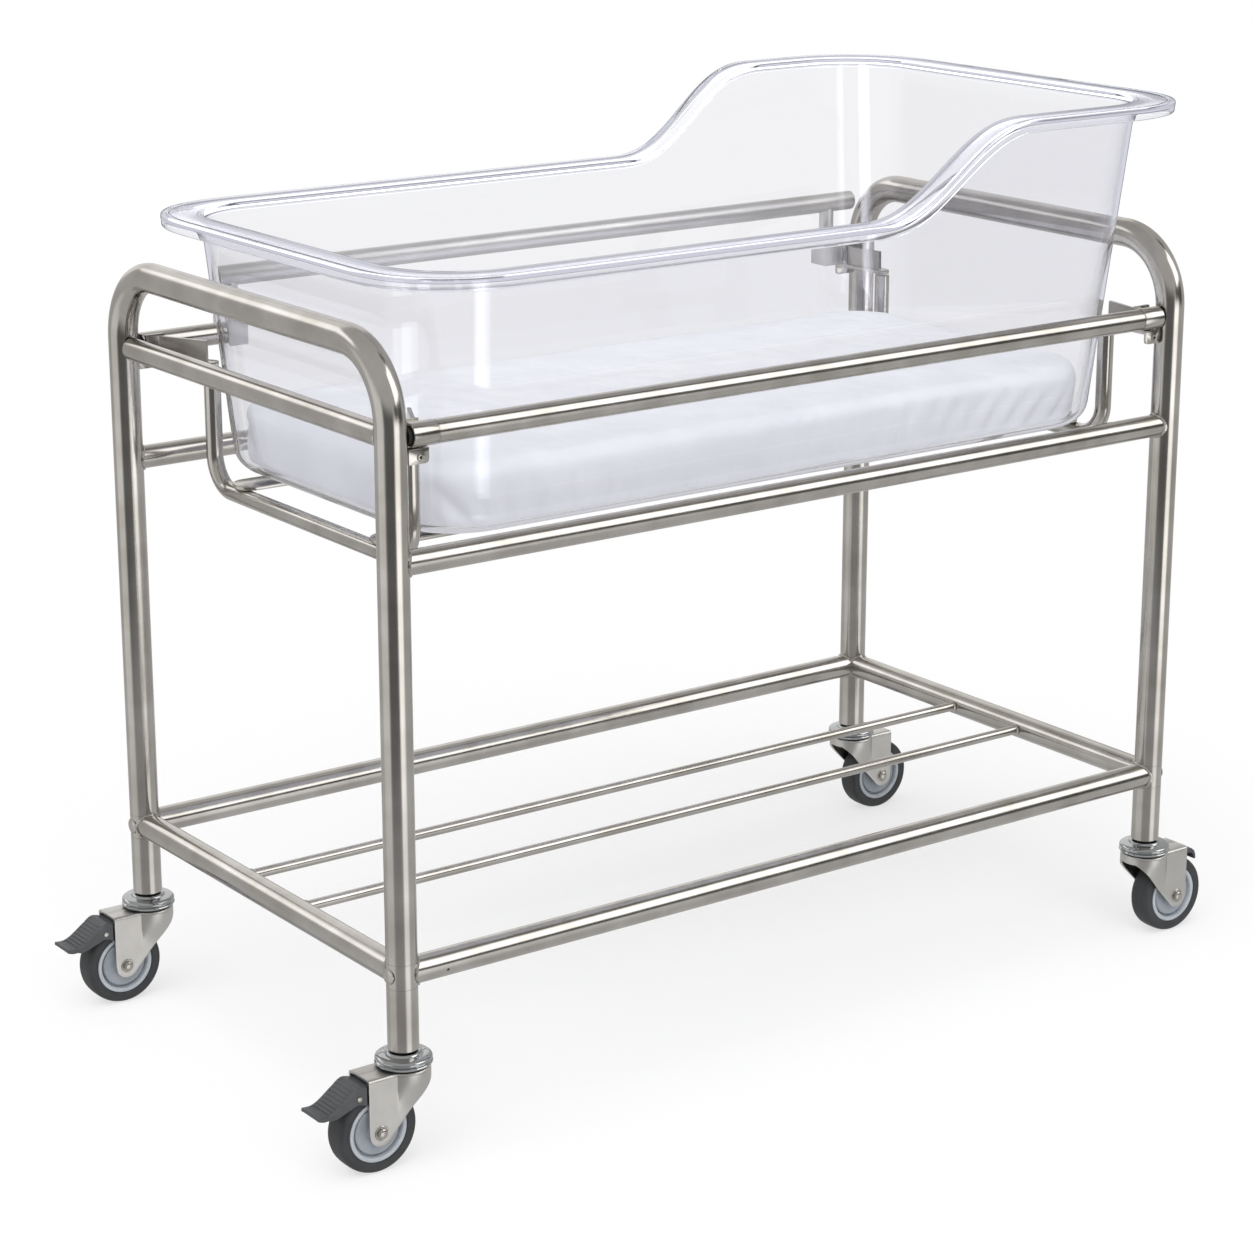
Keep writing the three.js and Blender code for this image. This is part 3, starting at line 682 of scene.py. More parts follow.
@dataclass
class Stand:
    """The welded tube stand: end hoops, lower frame, shelf rods, bed rails and the cradle ring."""

    leg_radius: float = 14 * MM
    wall: float = 1.5 * MM
    hoop_bend: float = 65 * MM
    bend_steps: int = 20
    lower_radius: float = 12.5 * MM
    bed_radius: float = 11 * MM
    rod_radius: float = 5 * MM
    ring_radius: float = 10.5 * MM
    # The plug fills the gap before a leg; its black is painted shade for that gap.
    plug_radius: float = 8 * MM
    plug_gap: float = 3 * MM
    sleeve_length: float = 25 * MM
    sleeve_step: float = 0.35 * MM
    bead_radius: float = 1.7 * MM
    bead_ripples: int = 26
    seam_rise: float = 11.5 * MM
    vent_radius: float = 1.7 * MM
    vent_in: float = 40 * MM

    def __post_init__(self) -> None:
        """Reads the places of the legs and rails from the frame."""
        (low, high), (head_low, head_high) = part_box("foot_end_hoop"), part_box("head_end_hoop")
        self.ends = {"foot": (low.x + high.x) / 2, "head": (head_low.x + head_high.x) / 2}
        reach = (high.y - low.y) / 2 + self.leg_radius * (1 - math.cos(math.pi / 18))
        self.sides = {"front": self.leg_radius - reach, "back": reach - self.leg_radius}
        self.leg_bottom = low.z
        self.handle = high.z - self.leg_radius * math.cos(math.pi / 18)
        self.beads = Skin()

    def level(self, node: str) -> float:
        """The height of a rail's axis."""
        low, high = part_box(node)
        return (low.z + high.z) / 2

    def build(self) -> None:
        """Builds every piece of the stand."""
        self.lower_level = self.level("front_lower_rail")
        self.hoops()
        self.lower_frame()
        self.bed_rails()
        self.cradle_ring()
        self.raised_rail()
        self.bolts()
        settle(self.beads.piece("weld_beads", WELD), "frame", "stainless_tube")

    def hoops(self) -> None:
        """The two end hoops, each two legs and a handle, with a thin dark ring above and below the lower joint,
        whose darkness is painted shade for a fine seam groove.
        """
        seam_shade_rings = Skin()
        for end, x in self.ends.items():
            front, back = self.sides["front"], self.sides["back"]
            corners = [
                Vector((x, front, self.leg_bottom)), Vector((x, front, self.handle)),
                Vector((x, back, self.handle)), Vector((x, back, self.leg_bottom)),
            ]
            skin = Skin()
            path = bent_path(corners, self.hoop_bend, self.bend_steps)
            tube(skin, path, Axis.X.vector, self.leg_radius, self.wall)
            node = f"{end}_end_hoop"
            settle(skin.piece(f"{node}_skin", STAINLESS), "frame", "stainless_tube", node)
            for y in self.sides.values():
                for rise in (-self.seam_rise, self.seam_rise):
                    # A ring a touch proud of the leg, dark with painted shade in place of a groove's shadow.
                    edge = self.leg_radius / MM
                    profile = [(edge - 0.2, -0.3), (edge + 0.03, -0.2), (edge + 0.03, 0.2), (edge - 0.2, 0.3)]
                    spot = Vector((x, y, self.lower_level + rise))
                    seam_shade_rings.band(turned_rings(profile, 40, Axis.Z, spot))
        settle(seam_shade_rings.piece("leg_seam_shades", PAINTED_SEAM_SHADE), "frame", "stainless_tube")

    def coped(self, skin: Skin, axis: Axis, fixed: Vector, span: tuple[float, float], radius: float) -> None:
        """Adds a rail whose ends are cut to the legs that it meets, and a weld bead at each end.

        Args:
            skin: The mesh.
            axis: The direction of the rail.
            fixed: A point of the rail's axis.
            span: The positions of the legs' axes along it.
            radius: The rail's radius.
        """
        count = 40
        along = axis.vector
        level = Axis.X.vector if axis is Axis.Y else Axis.Y.vector
        base = fixed - along * fixed[axis.value]

        def ring(inward: float, position: float, sign: int) -> Ring:
            points = []
            for i in range(count):
                a = TURN * i / count
                offset = radius * math.cos(a)
                reach = math.sqrt(max(0.0, self.leg_radius**2 - offset**2)) + inward
                spot = base + along * (position + sign * reach)
                points.append(spot + level * offset + Axis.Z.vector * radius * math.sin(a))
            return points

        start, stop = span
        rings = [ring(depth, start, 1) for depth in (-0.5 * MM, 20 * MM)]
        rings += [ring(depth, stop, -1) for depth in (20 * MM, -0.5 * MM)]
        skin.band(rings)
        for position, sign in ((start, 1), (stop, -1)):
            self.bead(base + along * position, along * sign, level, radius)

    def bead(self, joint: Vector, along: Vector, level: Vector, radius: float) -> None:
        """Adds a rippled weld bead round a rail where it meets a leg.

        Args:
            joint: Where the rail's axis crosses the leg's.
            along: The direction from the leg into the rail.
            level: The horizontal direction square to the rail.
            radius: The rail's radius.
        """
        steps, rings = 4 * self.bead_ripples, []
        for step in range(steps + 1):
            a = TURN * (step % steps) / steps
            out = level * math.cos(a) + Axis.Z.vector * math.sin(a)
            offset = radius * math.cos(a)
            reach = math.sqrt(max(0.0, self.leg_radius**2 - offset**2)) + 0.4 * MM
            size = self.bead_radius * (1 + 0.05 * math.sin(self.bead_ripples * a))
            centre = joint + along * reach + out * radius
            rings.append(round_ring(centre, out.cross(along), along, size, 8))
        self.beads.band(rings)

    def lower_frame(self) -> None:
        """The lower long rails, with a vent hole in the front one, the cross rails and the shelf rods."""
        z = self.lower_level
        span = (self.ends["foot"], self.ends["head"])
        for side, y in self.sides.items():
            skin = Skin()
            self.coped(skin, Axis.X, Vector((0, y, z)), span, self.lower_radius)
            node = f"{side}_lower_rail"
            settle(skin.piece(f"{node}_skin", STAINLESS), "frame", "stainless_tube", node)
        for end, x in self.ends.items():
            skin = Skin()
            across = (self.sides["front"], self.sides["back"])
            self.coped(skin, Axis.Y, Vector((x, 0, z)), across, self.lower_radius)
            node = f"{end}_lower_cross_rail"
            settle(skin.piece(f"{node}_skin", STAINLESS), "frame", "stainless_tube", node)
        for side in self.sides:
            node = f"{side}_shelf_rod"
            low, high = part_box(node)
            y = (low.y + high.y) / 2
            skin = Skin()
            path = [(Vector((low.x - 0.6 * MM, y, z)), Axis.X.vector), (Vector((high.x + 0.6 * MM, y, z)), Axis.X.vector)]
            tube(skin, path, Axis.Y.vector, self.rod_radius, 0.0, 24)
            settle(skin.piece(f"{node}_skin", STAINLESS), "frame", "stainless_tube", node)
            for x, sign in ((low.x, 1), (high.x, -1)):
                ring = [
                    round_ring(
                        Vector((x + sign * 0.8 * MM, y, z)) + out * self.rod_radius,
                        out.cross(Axis.X.vector), Axis.X.vector, 1.2 * MM, 8,
                    )
                    for out in (
                        Axis.Y.vector * math.cos(a) + Axis.Z.vector * math.sin(a)
                        for a in (TURN * (i % 32) / 32 for i in range(33))
                    )
                ]
                self.beads.band(ring)
        self.vent()

    def vent(self) -> None:
        """The small drilled vent hole low on the front rail, near the foot leg: a black disc of painted shade for
        the hole, in a steel ring.
        """
        tilt = math.radians(-12)
        out = Vector((0, -math.cos(tilt), math.sin(tilt)))
        rail = Vector((self.ends["foot"] + self.vent_in, self.sides["front"], self.lower_level))
        skin = Skin()
        up = Axis.X.vector.cross(out)
        # Slot 0 is the black disc, painted shade in place of a cut hole; slot 1 is its rim.
        for slot, (inner, outer, rise) in enumerate(((0.1, 0.75, 0.02), (0.75, 1.0, 0.06))):
            rings = []
            for share, lift in ((inner, rise), (outer, rise)):
                radius = self.vent_radius * share
                rings.append(
                    [
                        rail + out * (math.sqrt(self.lower_radius**2 - (radius * math.sin(a)) ** 2) + lift * MM)
                        + (Axis.X.vector * math.cos(a) + up * math.sin(a)) * radius
                        for a in (TURN * i / 24 for i in range(24))
                    ]
                )
            skin.band(rings, slot, caps=(slot == 0, False))
        settle(skin.piece("rail_vent_hole", BLACK_PLUG_AND_SHADE, WELD), "frame", "stainless_tube")

    def bed_rails(self) -> None:
        """The two rails at the level of the tub's floor."""
        for side, y in self.sides.items():
            node = f"{side}_bed_rail"
            skin = Skin()
            span = (self.ends["foot"], self.ends["head"])
            self.coped(skin, Axis.X, Vector((0, y, self.level(node))), span, self.bed_radius)
            settle(skin.piece(f"{node}_skin", STAINLESS), "frame", "stainless_tube", node)

    def ring_rail(
        self, node: str, axis: Axis, fixed: Vector, span: tuple[float, float], ends: tuple[RailEnd, RailEnd]
    ) -> None:
        """A rail of the cradle ring with a black plug at each end: before a leg the plug's black is painted shade
        for the gap, and an open end shows its black plug set inside its bore.

        Args:
            node: The node that it stands for.
            axis: The direction of the rail.
            fixed: A point of the rail's axis.
            span: Its two ends: a leg's axis, or the bare end of an open one.
            ends: How each end is made.
        """
        along, flat = axis.vector, Axis.Z.vector
        base = fixed - along * fixed[axis.value]
        radius, bore, ease = self.ring_radius, self.ring_radius - self.wall, 0.5 * MM
        gap = self.leg_radius + self.plug_gap
        starts = {RailEnd.OPEN: 0.0, RailEnd.WELDED: 0.6 * self.leg_radius}
        stations: list[tuple[float, float]] = []
        plugs_and_gap_shades: list[tuple[float, float, float]] = []
        for position, sign, end in ((span[0], 1, ends[0]), (span[1], -1, ends[1])):
            face = position + sign * starts.get(end, gap)
            wide = radius + (self.sleeve_step if end is RailEnd.SLEEVED else 0.0)
            half = [(face + sign * 14 * MM, bore), (face, bore), (face, wide - ease), (face + sign * ease, wide)]
            if end is RailEnd.SLEEVED:
                tail = face + sign * self.sleeve_length
                seam = tail + sign * 0.8 * MM
                half += [(tail - sign * ease, wide), (tail, wide - 0.2 * MM), (tail, radius - 0.3 * MM)]
                half += [(seam, radius - 0.3 * MM), (seam, radius)]
            stations += half if sign > 0 else half[::-1]
            if end is RailEnd.WELDED:
                level = Axis.X.vector if axis is Axis.Y else Axis.Y.vector
                self.bead(base + along * position, along * sign, level, radius)
            elif end is RailEnd.OPEN:
                plugs_and_gap_shades.append((face + sign * 5 * MM, face + sign * 9 * MM, bore - 0.05 * MM))
            else:
                plugs_and_gap_shades.append((face - sign * (self.plug_gap + 0.5 * MM), face + sign * 8 * MM, self.plug_radius))
        skin = Skin()
        skin.band([round_ring(base + along * s, along, flat, r, 40) for s, r in stations])
        # The black of each plug paints the shade in the gap before a leg; an open end keeps its black plug inside.
        for first, last, size in plugs_and_gap_shades:
            rings = [round_ring(base + along * s, along, flat, size, 32) for s in (first, last)]
            skin.band(rings, 1, caps=(True, True))
        settle(skin.piece(f"{node}_skin", STAINLESS, BLACK_PLUG_AND_SHADE), "frame", "stainless_tube", node)

    def cradle_ring(self) -> None:
        """The rails that carry the tub's cradle: the front one, the one across the foot and two back stubs."""
        z = self.level("foot_upper_cross_rail")
        foot, head = self.ends["foot"], self.ends["head"]
        front, back = self.sides["front"], self.sides["back"]
        across, behind = Vector((foot, 0, z)), Vector((0, back, z))
        sleeves = (RailEnd.SLEEVED, RailEnd.SLEEVED)
        self.ring_rail("front_upper_rail", Axis.X, Vector((0, front, z)), (foot, head), sleeves)
        ends = (RailEnd.WELDED, RailEnd.PLUGGED)
        self.ring_rail("foot_upper_cross_rail", Axis.Y, across, (front, back), ends)
        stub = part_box("foot_back_stub")[1].x
        self.ring_rail("foot_back_stub", Axis.X, behind, (foot, stub), (RailEnd.PLUGGED, RailEnd.OPEN))
        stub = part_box("head_back_stub")[0].x
        self.ring_rail("head_back_stub", Axis.X, behind, (stub, head), (RailEnd.OPEN, RailEnd.PLUGGED))

    def raised_rail(self) -> None:
        """The raised back rail with its posts and clamp blocks, in a steel far paler than the tube: painted light
        for the haze it shows behind the tub's walls.
        """
        piece = refined("raised_back_rail", SATIN_PAINTED_HAZE, 1.0, Axis.X)
        settle(piece, "frame", "stainless_tube", "raised_back_rail")

    def bolts(self) -> None:
        """The domed bolts on the outer sides of the legs, each with a dark band round its edge that is painted shade
        for the gap round the dome.
        """
        for corner in Corner:
            node = f"{corner.label}_leg_bolt"
            low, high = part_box(node)
            centre = (low + high) / 2
            centre.x = self.ends["foot" if corner.end < 0 else "head"]
            # The edge band takes the dark finish: painted shade of the gap round the dome.
            edge = [(7.6, 10.0), (7.6, 13.4)]
            dome = [(7.6, 13.4), (7.3, 14.2), (6.6, 14.6), (5.0, 15.2), (2.8, 15.6), (0.2, 15.8)]
            skin = Skin()
            for slot, part in enumerate((dome, edge)):
                rings = turned_rings([(r, corner.end * h) for r, h in part], 36, Axis.X, centre)
                skin.band(rings, slot, caps=(slot == 1, slot == 0))
            settle(skin.piece(f"{node}_skin", STAINLESS, PAINTED_GROOVE_SHADE), "frame", "caster_chrome", node)


# Cradle


@dataclass
class Cradle:
    """What hangs in the ring and carries the tub: U-bars, corner brackets, straps and pads."""

    bar_radius: float = 8 * MM
    bar_bend: float = 32 * MM
    bar_half: float = 172 * MM
    screw_in: float = 10.5 * MM
    screw_up: float = 6 * MM

    def build(self) -> None:
        """Builds every piece of the cradle."""
        for end in ("foot", "head"):
            self.u_bar(end)
        for corner in Corner:
            for part, bevel, along in (("bracket", 0.6, Axis.X), ("strap", 0.8, Axis.X)):
                node = f"{corner.label}_{part}"
                settle(refined(node, STAINLESS, bevel, along), "frame", "stainless_tube", node)
            node = f"{corner.label}_pad"
            settle(refined(node, RUBBER, 1.0, Axis.X), "frame", "support_rubber", node)
            self.screw(corner)

    def screw(self, corner: Corner) -> None:
        """The screw of a bracket's tab: a low round head with a black disc in its middle, painted shade for the
        socket.
        """
        low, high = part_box(f"{corner.label}_bracket")
        x = low.x + self.screw_in if corner.end < 0 else high.x - self.screw_in
        face = Vector((x, low.y if corner.side < 0 else high.y, low.z + self.screw_up))
        head = [(2.4, -0.3), (2.4, 0.1), (2.1, 0.35), (1.5, 0.4)]
        # The socket is a black disc almost flush with the head: painted shade for the recess.
        socket = [(1.5, 0.4), (1.4, 0.1), (0.1, 0.1)]
        skin = Skin()
        for slot, part in enumerate((head, socket)):
            rings = turned_rings([(r, corner.side * h) for r, h in part], 28, Axis.Y, face)
            skin.band(rings, slot, caps=(slot == 0, slot == 1))
        settle(skin.piece(f"{corner.label}_bracket_screw", STAINLESS, BLACK_PLUG_AND_SHADE), "frame", "stainless_tube")

    def u_bar(self, end: str) -> None:
        """A U-bar of solid rod that crosses under the tub."""
        node = f"{end}_u_bar"
        low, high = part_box(node)
        x = (low.x + high.x) / 2
        top, floor = high.z, low.z + self.bar_radius
        stops = ((-self.bar_half, top), (-self.bar_half, floor), (self.bar_half, floor), (self.bar_half, top))
        corners = [Vector((x, y, z)) for y, z in stops]
        skin = Skin()
        tube(skin, bent_path(corners, self.bar_bend, 14), Axis.X.vector, self.bar_radius, 0.0, 32)
        settle(skin.piece(f"{node}_skin", STAINLESS), "frame", "stainless_tube", node)


# Tub and mattress


@dataclass
class Tub:
    """The clear tub: drafted walls, rounded corners, a heel round its floor and a rolled rim that rises."""

    wall: float = 4.0
    low: float = 240.0
    high: float = 324.0
    foot: float = 389.0
    head: float = 425.0
    half: float = 194.0
    draft_foot: float = 0.06
    draft_head: float = 0.05
    draft_side: float = 0.115
    corner: float = 78.0
    heel: float = 22.0
    rise_start: float = 62.0
    rise_end: float = 248.0
    back_shift: float = 60.0
    flange: float = 32.0
    corner_gain: float = 0.18
    corner_steps: int = 22
    side_steps: int = 110
    end_steps: int = 14

    def __post_init__(self) -> None:
        """Reads where the tub stands from the frame."""
        hoops = [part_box(f"{end}_end_hoop") for end in ("foot", "head")]
        middle = sum((low.x + high.x) / 2 for low, high in hoops) / 2
        self.origin = Vector((middle, 0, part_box("tub")[0].z))

    def rim(self, x: float, y: float) -> float:
        """The height of the rim's top above the floor, in millimetres: the back rises nearer the head."""
        start = self.rise_start + (self.back_shift if y > 0 else 0.0)
        t = min(1.0, max(0.0, (x - start) / (self.rise_end - self.rise_start)))
        return self.low + (self.high - self.low) * t**3 * (t * (6 * t - 15) + 10)

    def plan(self, height: float) -> list[tuple[float, float, float, float, float]]:
        """The outline of the outer wall at a height, in millimetres.

        Args:
            height: The height above the floor.

        Returns:
            Points as x, y, outward x, outward y and a corner measure from 0 to 1.
        """
        foot = self.foot + self.draft_foot * height
        head = self.head + self.draft_head * height
        half = self.half + self.draft_side * height
        spots: list[tuple[float, float, float, float, float]] = []

        def arc(cx: float, cy: float, start: float) -> None:
            for i in range(self.corner_steps + 1):
                a = start + math.pi / 2 * i / self.corner_steps
                bump = math.sin(math.pi * i / self.corner_steps) ** 2
                out = (math.cos(a), math.sin(a))
                spots.append((cx + self.corner * out[0], cy + self.corner * out[1], *out, bump))

        def run(first: tuple[float, float], last: tuple[float, float], steps: int, out: tuple[float, float]) -> None:
            for i in range(1, steps):
                t = i / steps
                spots.append(
                    (first[0] + t * (last[0] - first[0]), first[1] + t * (last[1] - first[1]), *out, 0.0)
                )

        left, right, top = self.corner - foot, head - self.corner, half - self.corner
        arc(left, -top, math.pi)
        run((left, -half), (right, -half), self.side_steps, (0.0, -1.0))
        arc(right, -top, 1.5 * math.pi)
        run((head, -top), (head, top), self.end_steps, (1.0, 0.0))
        arc(right, top, 0.0)
        run((right, half), (left, half), self.side_steps, (0.0, 1.0))
        arc(left, top, 0.5 * math.pi)
        run((-foot, top), (-foot, -top), self.end_steps, (-1.0, 0.0))
        return spots

    def ring(self, height: Callable[[float, float], float], offset: Callable[[float], float]) -> Ring:
        """A ring of the wall.

        Args:
            height: The height at a place in plan.
            offset: The distance out of the wall at a corner measure.

        Returns:
            The ring's points, in place.
        """
        points = []
        levels: dict[float, list[tuple[float, float, float, float, float]]] = {}
        for i, (at_x, at_y, *_) in enumerate(self.plan(self.low)):
            z = height(at_x, at_y)
            if z not in levels:
                levels[z] = self.plan(z)
            x, y, out_x, out_y, bump = levels[z][i]
            o = offset(bump)
            points.append(self.origin + Vector((x + out_x * o, y + out_y * o, z)) * MM)
        return points

    def level_ring(self, height: float, offset: float) -> Ring:
        """A level ring of the wall, moved out by an offset."""
        return self.ring(lambda x, y: height, lambda bump: offset)

    def rim_ring(self, drop: float, offset: float, share: float) -> Ring:
        """A ring of the rim: a drop below its top, and a share of the flange's reach plus an offset."""
        reach = self.flange * share
        return self.ring(
            lambda x, y: self.rim(x, y) - drop, lambda bump: offset + reach * (1 + self.corner_gain * bump)
        )

    def wall_ring(self, share: float, offset: float) -> Ring:
        """A ring of the wall a share of the way up from the heel to the rim, moved out by an offset."""
        return self.ring(
            lambda x, y: self.heel + share * (self.rim(x, y) - 9 - self.heel), lambda bump: offset
        )

    def shell(self) -> list[Ring]:
        """The rings of the whole shell, from the middle of its underside round the rim to its inner floor."""
        rings = []
        for i in range(9):
            a = math.pi / 2 * i / 8
            rings.append(self.level_ring(self.heel * (1 - math.cos(a)), -self.heel * (1 - math.sin(a))))
        climb = (0.25, 0.5, 0.75, 0.95)
        rings += [self.wall_ring(share, 0.0) for share in climb]
        lip = [
            (9.0, 0.0, 0.0), (6.6, 0.5, 0.0), (5.2, 1.8, 0.0), (4.6, 4.0, 0.0), (4.6, 0.0, 0.4), (4.6, -6.5, 1.0),
            (5.2, -4.8, 1.0), (7.0, -4.2, 1.0), (11.2, -4.0, 1.0), (11.9, -3.2, 1.0), (12.1, -2.0, 1.0),
            (11.7, -0.8, 1.0), (10.8, 0.0, 1.0), (3.2, 0.0, 1.0), (1.4, -0.4, 1.0), (0.4, -1.5, 1.0),
            (0.0, -3.2, 1.0), (0.1, -5.4, 1.0), (0.9, -6.3, 1.0), (1.2, -7.2, 1.0), (0.9, -8.1, 1.0),
            (0.1, -9.0, 1.0), (0.0, 0.0, 0.5), (0.0, 1.0, 0.0), (0.3, -1.4, 0.0), (1.2, -3.0, 0.0),
            (2.8, -3.8, 0.0), (5.5, -4.0, 0.0),
        ]
        rings += [self.rim_ring(*station) for station in lip]
        inner = self.heel - self.wall
        rings += [self.wall_ring(share, -self.wall) for share in reversed(climb)]
        for i in range(8, -1, -1):
            a = math.pi / 2 * i / 8
            height = self.wall + inner * (1 - math.cos(a))
            rings.append(self.level_ring(height, -self.wall - inner * (1 - math.sin(a))))
        return rings

    def recess(self) -> Skin:
        """The oval moulding mark on the flange of a foot corner."""
        skin = Skin()
        spot = self.plan(self.low)[-(self.end_steps - 1) - self.corner_steps // 2 - 1]
        x, y, out_x, out_y, _ = spot
        reach = self.flange * (1 + self.corner_gain) * 0.47
        centre = self.origin + Vector((x + out_x * reach, y + out_y * reach, self.low)) * MM
        out = Vector((out_x, out_y, 0))
        across = Vector((-out_y, out_x, 0))
        rings = []
        for i in range(49):
            a = TURN * (i % 48) / 48
            spoke = out * math.cos(a) * 7 * MM + across * math.sin(a) * 13 * MM
            rings.append(round_ring(centre + spoke, spoke.cross(Axis.Z.vector).normalized(), Axis.Z.vector, 0.7 * MM, 8))
        skin.band(rings)
        return skin

    def build(self) -> None:
        """Builds the tub and the mark on its flange."""
        skin = Skin()
        skin.band(self.shell(), caps=(True, True))
        settle(skin.piece("tub_skin", CLEAR), "tub_body", "tub_clear", "tub")
        settle(self.recess().piece("tub_corner_mark", CLEAR), "tub_body", "tub_clear")


@dataclass
class Mattress:
    """The foam mattress in its fitted sheet: a soft-edged block, swollen by a cloth simulation and creased."""

    tub: Tub
    voxel: float = 6 * MM
    pressure: float = 3.0
    swell: float = 3 * MM
    slack: float = 0.012
    frames: int = 20
    side_gap: float = 7.6
    side_height: float = 57.0
    crease_spacing: float = 34.0
    crease_depth: float = 7.0
    crease_pull: float = 58.0

    def form(self) -> Skin:
        """The mattress before it swells: straight sides, rounded edges and a low crown."""
        base = self.tub.wall + 1.2
        edge = 17.0
        arc = [math.pi / 2 * i / 7 for i in range(8)]
        lower = [(5.0 * (1 - math.cos(a)), -8.0 * (1 - math.sin(a))) for a in arc]
        upper = [(self.side_height - edge * (1 - math.sin(a)), -edge * (1 - math.cos(a))) for a in arc]
        stations = lower + [(24.0, 0.3)] + upper + [(self.side_height + 0.6, -edge - 30.0)]
        gap = self.side_gap + self.tub.wall
        rings = [self.tub.level_ring(base + rise, offset - gap) for rise, offset in stations]
        centre = sum(rings[-1], Vector()) / len(rings[-1])
        for share, crown in ((0.75, 1.2), (0.5, 1.6), (0.25, 1.8)):
            height = self.tub.origin.z + (base + self.side_height + crown) * MM
            rings.append([Vector((*(centre + (p - centre) * share).xy, height)) for p in rings[len(stations) - 1]])
        skin = Skin()
        skin.band(rings, caps=(True, True))
        return skin

    def build(self) -> None:
        piece = self.form().piece("mattress_sheet", COTTON)
        self.remesh(piece)
        self.simulate(piece)
        self.smooth(piece)
        self.crease(piece)
        settle(piece, "mattress_body", "mattress_cover", "mattress")

    def remesh(self, piece: bpy.types.Object) -> None:
        """Gives the mattress an even mesh."""
        modifier = piece.modifiers.new("even", "REMESH")
        modifier.mode, modifier.voxel_size = "VOXEL", self.voxel
        self.apply(piece)

    def simulate(self, piece: bpy.types.Object) -> None:
        """Swells the sheet with slack cloth, caps how far a point moves, and keeps it clear of the tub's floor."""
        before = np.array([v.co for v in piece.data.vertices])
        cloth = piece.modifiers.new("sheet", "CLOTH")
        settings = cloth.settings
        settings.quality = 6
        settings.mass = 0.2
        settings.tension_stiffness = settings.compression_stiffness = 12
        settings.shear_stiffness = 4
        settings.bending_stiffness = 0.15
        settings.shrink_min = settings.shrink_max = -self.slack
        settings.use_pressure = True
        settings.uniform_pressure_force = self.pressure
        settings.effector_weights.gravity = 0
        cloth.collision_settings.use_collision = False
        scene = bpy.context.scene
        for step in range(1, self.frames + 1):
            scene.frame_set(step)
        self.apply(piece)
        scene.frame_set(1)
        after = np.array([v.co for v in piece.data.vertices])
        move = after - before
        length = np.linalg.norm(move, axis=1, keepdims=True)
        after = before + move * np.minimum(1.0, self.swell / np.maximum(length, 1e-9))
        floor = self.tub.origin.z + (self.tub.wall + 0.5) * MM
        after[:, 2] = np.maximum(after[:, 2], floor)
        piece.data.vertices.foreach_set("co", after.astype(np.float32).ravel())
        piece.data.update()

    def smooth(self, piece: bpy.types.Object) -> None:
        """Adds the last subdivision and smooth shading."""
        modifier = piece.modifiers.new("fine", "SUBSURF")
        modifier.levels = modifier.render_levels = 1
        self.apply(piece)
        piece.data.shade_smooth()

    def crease(self, piece: bpy.types.Object) -> None:
        """Pulls creases into the sheet's sides, slanting in from its corners, and a faint drape into its top."""
        spots = np.array([v.co for v in piece.data.vertices]) / MM
        out = np.array([v.normal for v in piece.data.vertices])
        middle = (spots.max(0) + spots.min(0)) / 2
        away = spots - middle
        rise = np.clip((spots[:, 2] - spots[:, 2].min()) / self.side_height, 0, 1)
        depth = np.zeros(len(spots))
        for along, across in ((0, 1), (1, 0)):
            half = away[:, along].max()
            count = round(2 * half / self.crease_spacing)
            for side in (-1, 1):
                facing = np.clip(side * out[:, across] * 1.6 - 0.5, 0, 1)
                for k in range(count):
                    chance = 0.5 + 0.5 * math.sin(12.9 * k + 4.1 * side + 7.7 * along)
                    other = 0.5 + 0.5 * math.sin(31.7 * k + 2.3 * side + 1.9 * along)
                    place = 2 * (k + other) / count - 1
                    lean = self.crease_pull * (place**3 + 0.7 * (chance - 0.5))
                    line = place * half - lean * (1 - rise)
                    width = 6 + 11 * other
                    strength = self.crease_depth * (0.6 + 0.4 * place * place) * (0.15 + 0.85 * chance)
                    fold = np.exp(-(((away[:, along] - line) / width) ** 2))
                    reach = np.exp(-(((rise - 0.15 - 0.6 * other) / 0.42) ** 2))
                    depth += facing * strength * fold * reach
        depth *= np.sin(math.pi * np.clip(0.12 + 0.82 * rise, 0, 1))
        drape = np.sin(TURN * (0.4 * away[:, 0] + away[:, 1]) / 110 + 1.4 * np.sin(TURN * away[:, 0] / 330))
        depth += 0.3 * drape * np.clip(out[:, 2] * 2 - 1, 0, 1)
        spots -= out * depth[:, None]
        piece.data.vertices.foreach_set("co", (spots * MM).astype(np.float32).ravel())
        piece.data.update()

    def apply(self, piece: bpy.types.Object) -> None:
        """Applies the piece's modifiers to its mesh."""
        graph = bpy.context.evaluated_depsgraph_get()
        old = piece.data
        new = bpy.data.meshes.new_from_object(piece.evaluated_get(graph))
        piece.modifiers.clear()
        piece.data = new
        new.materials.clear()
        new.materials.append(COTTON.material())
        bpy.data.meshes.remove(old)


# Casters


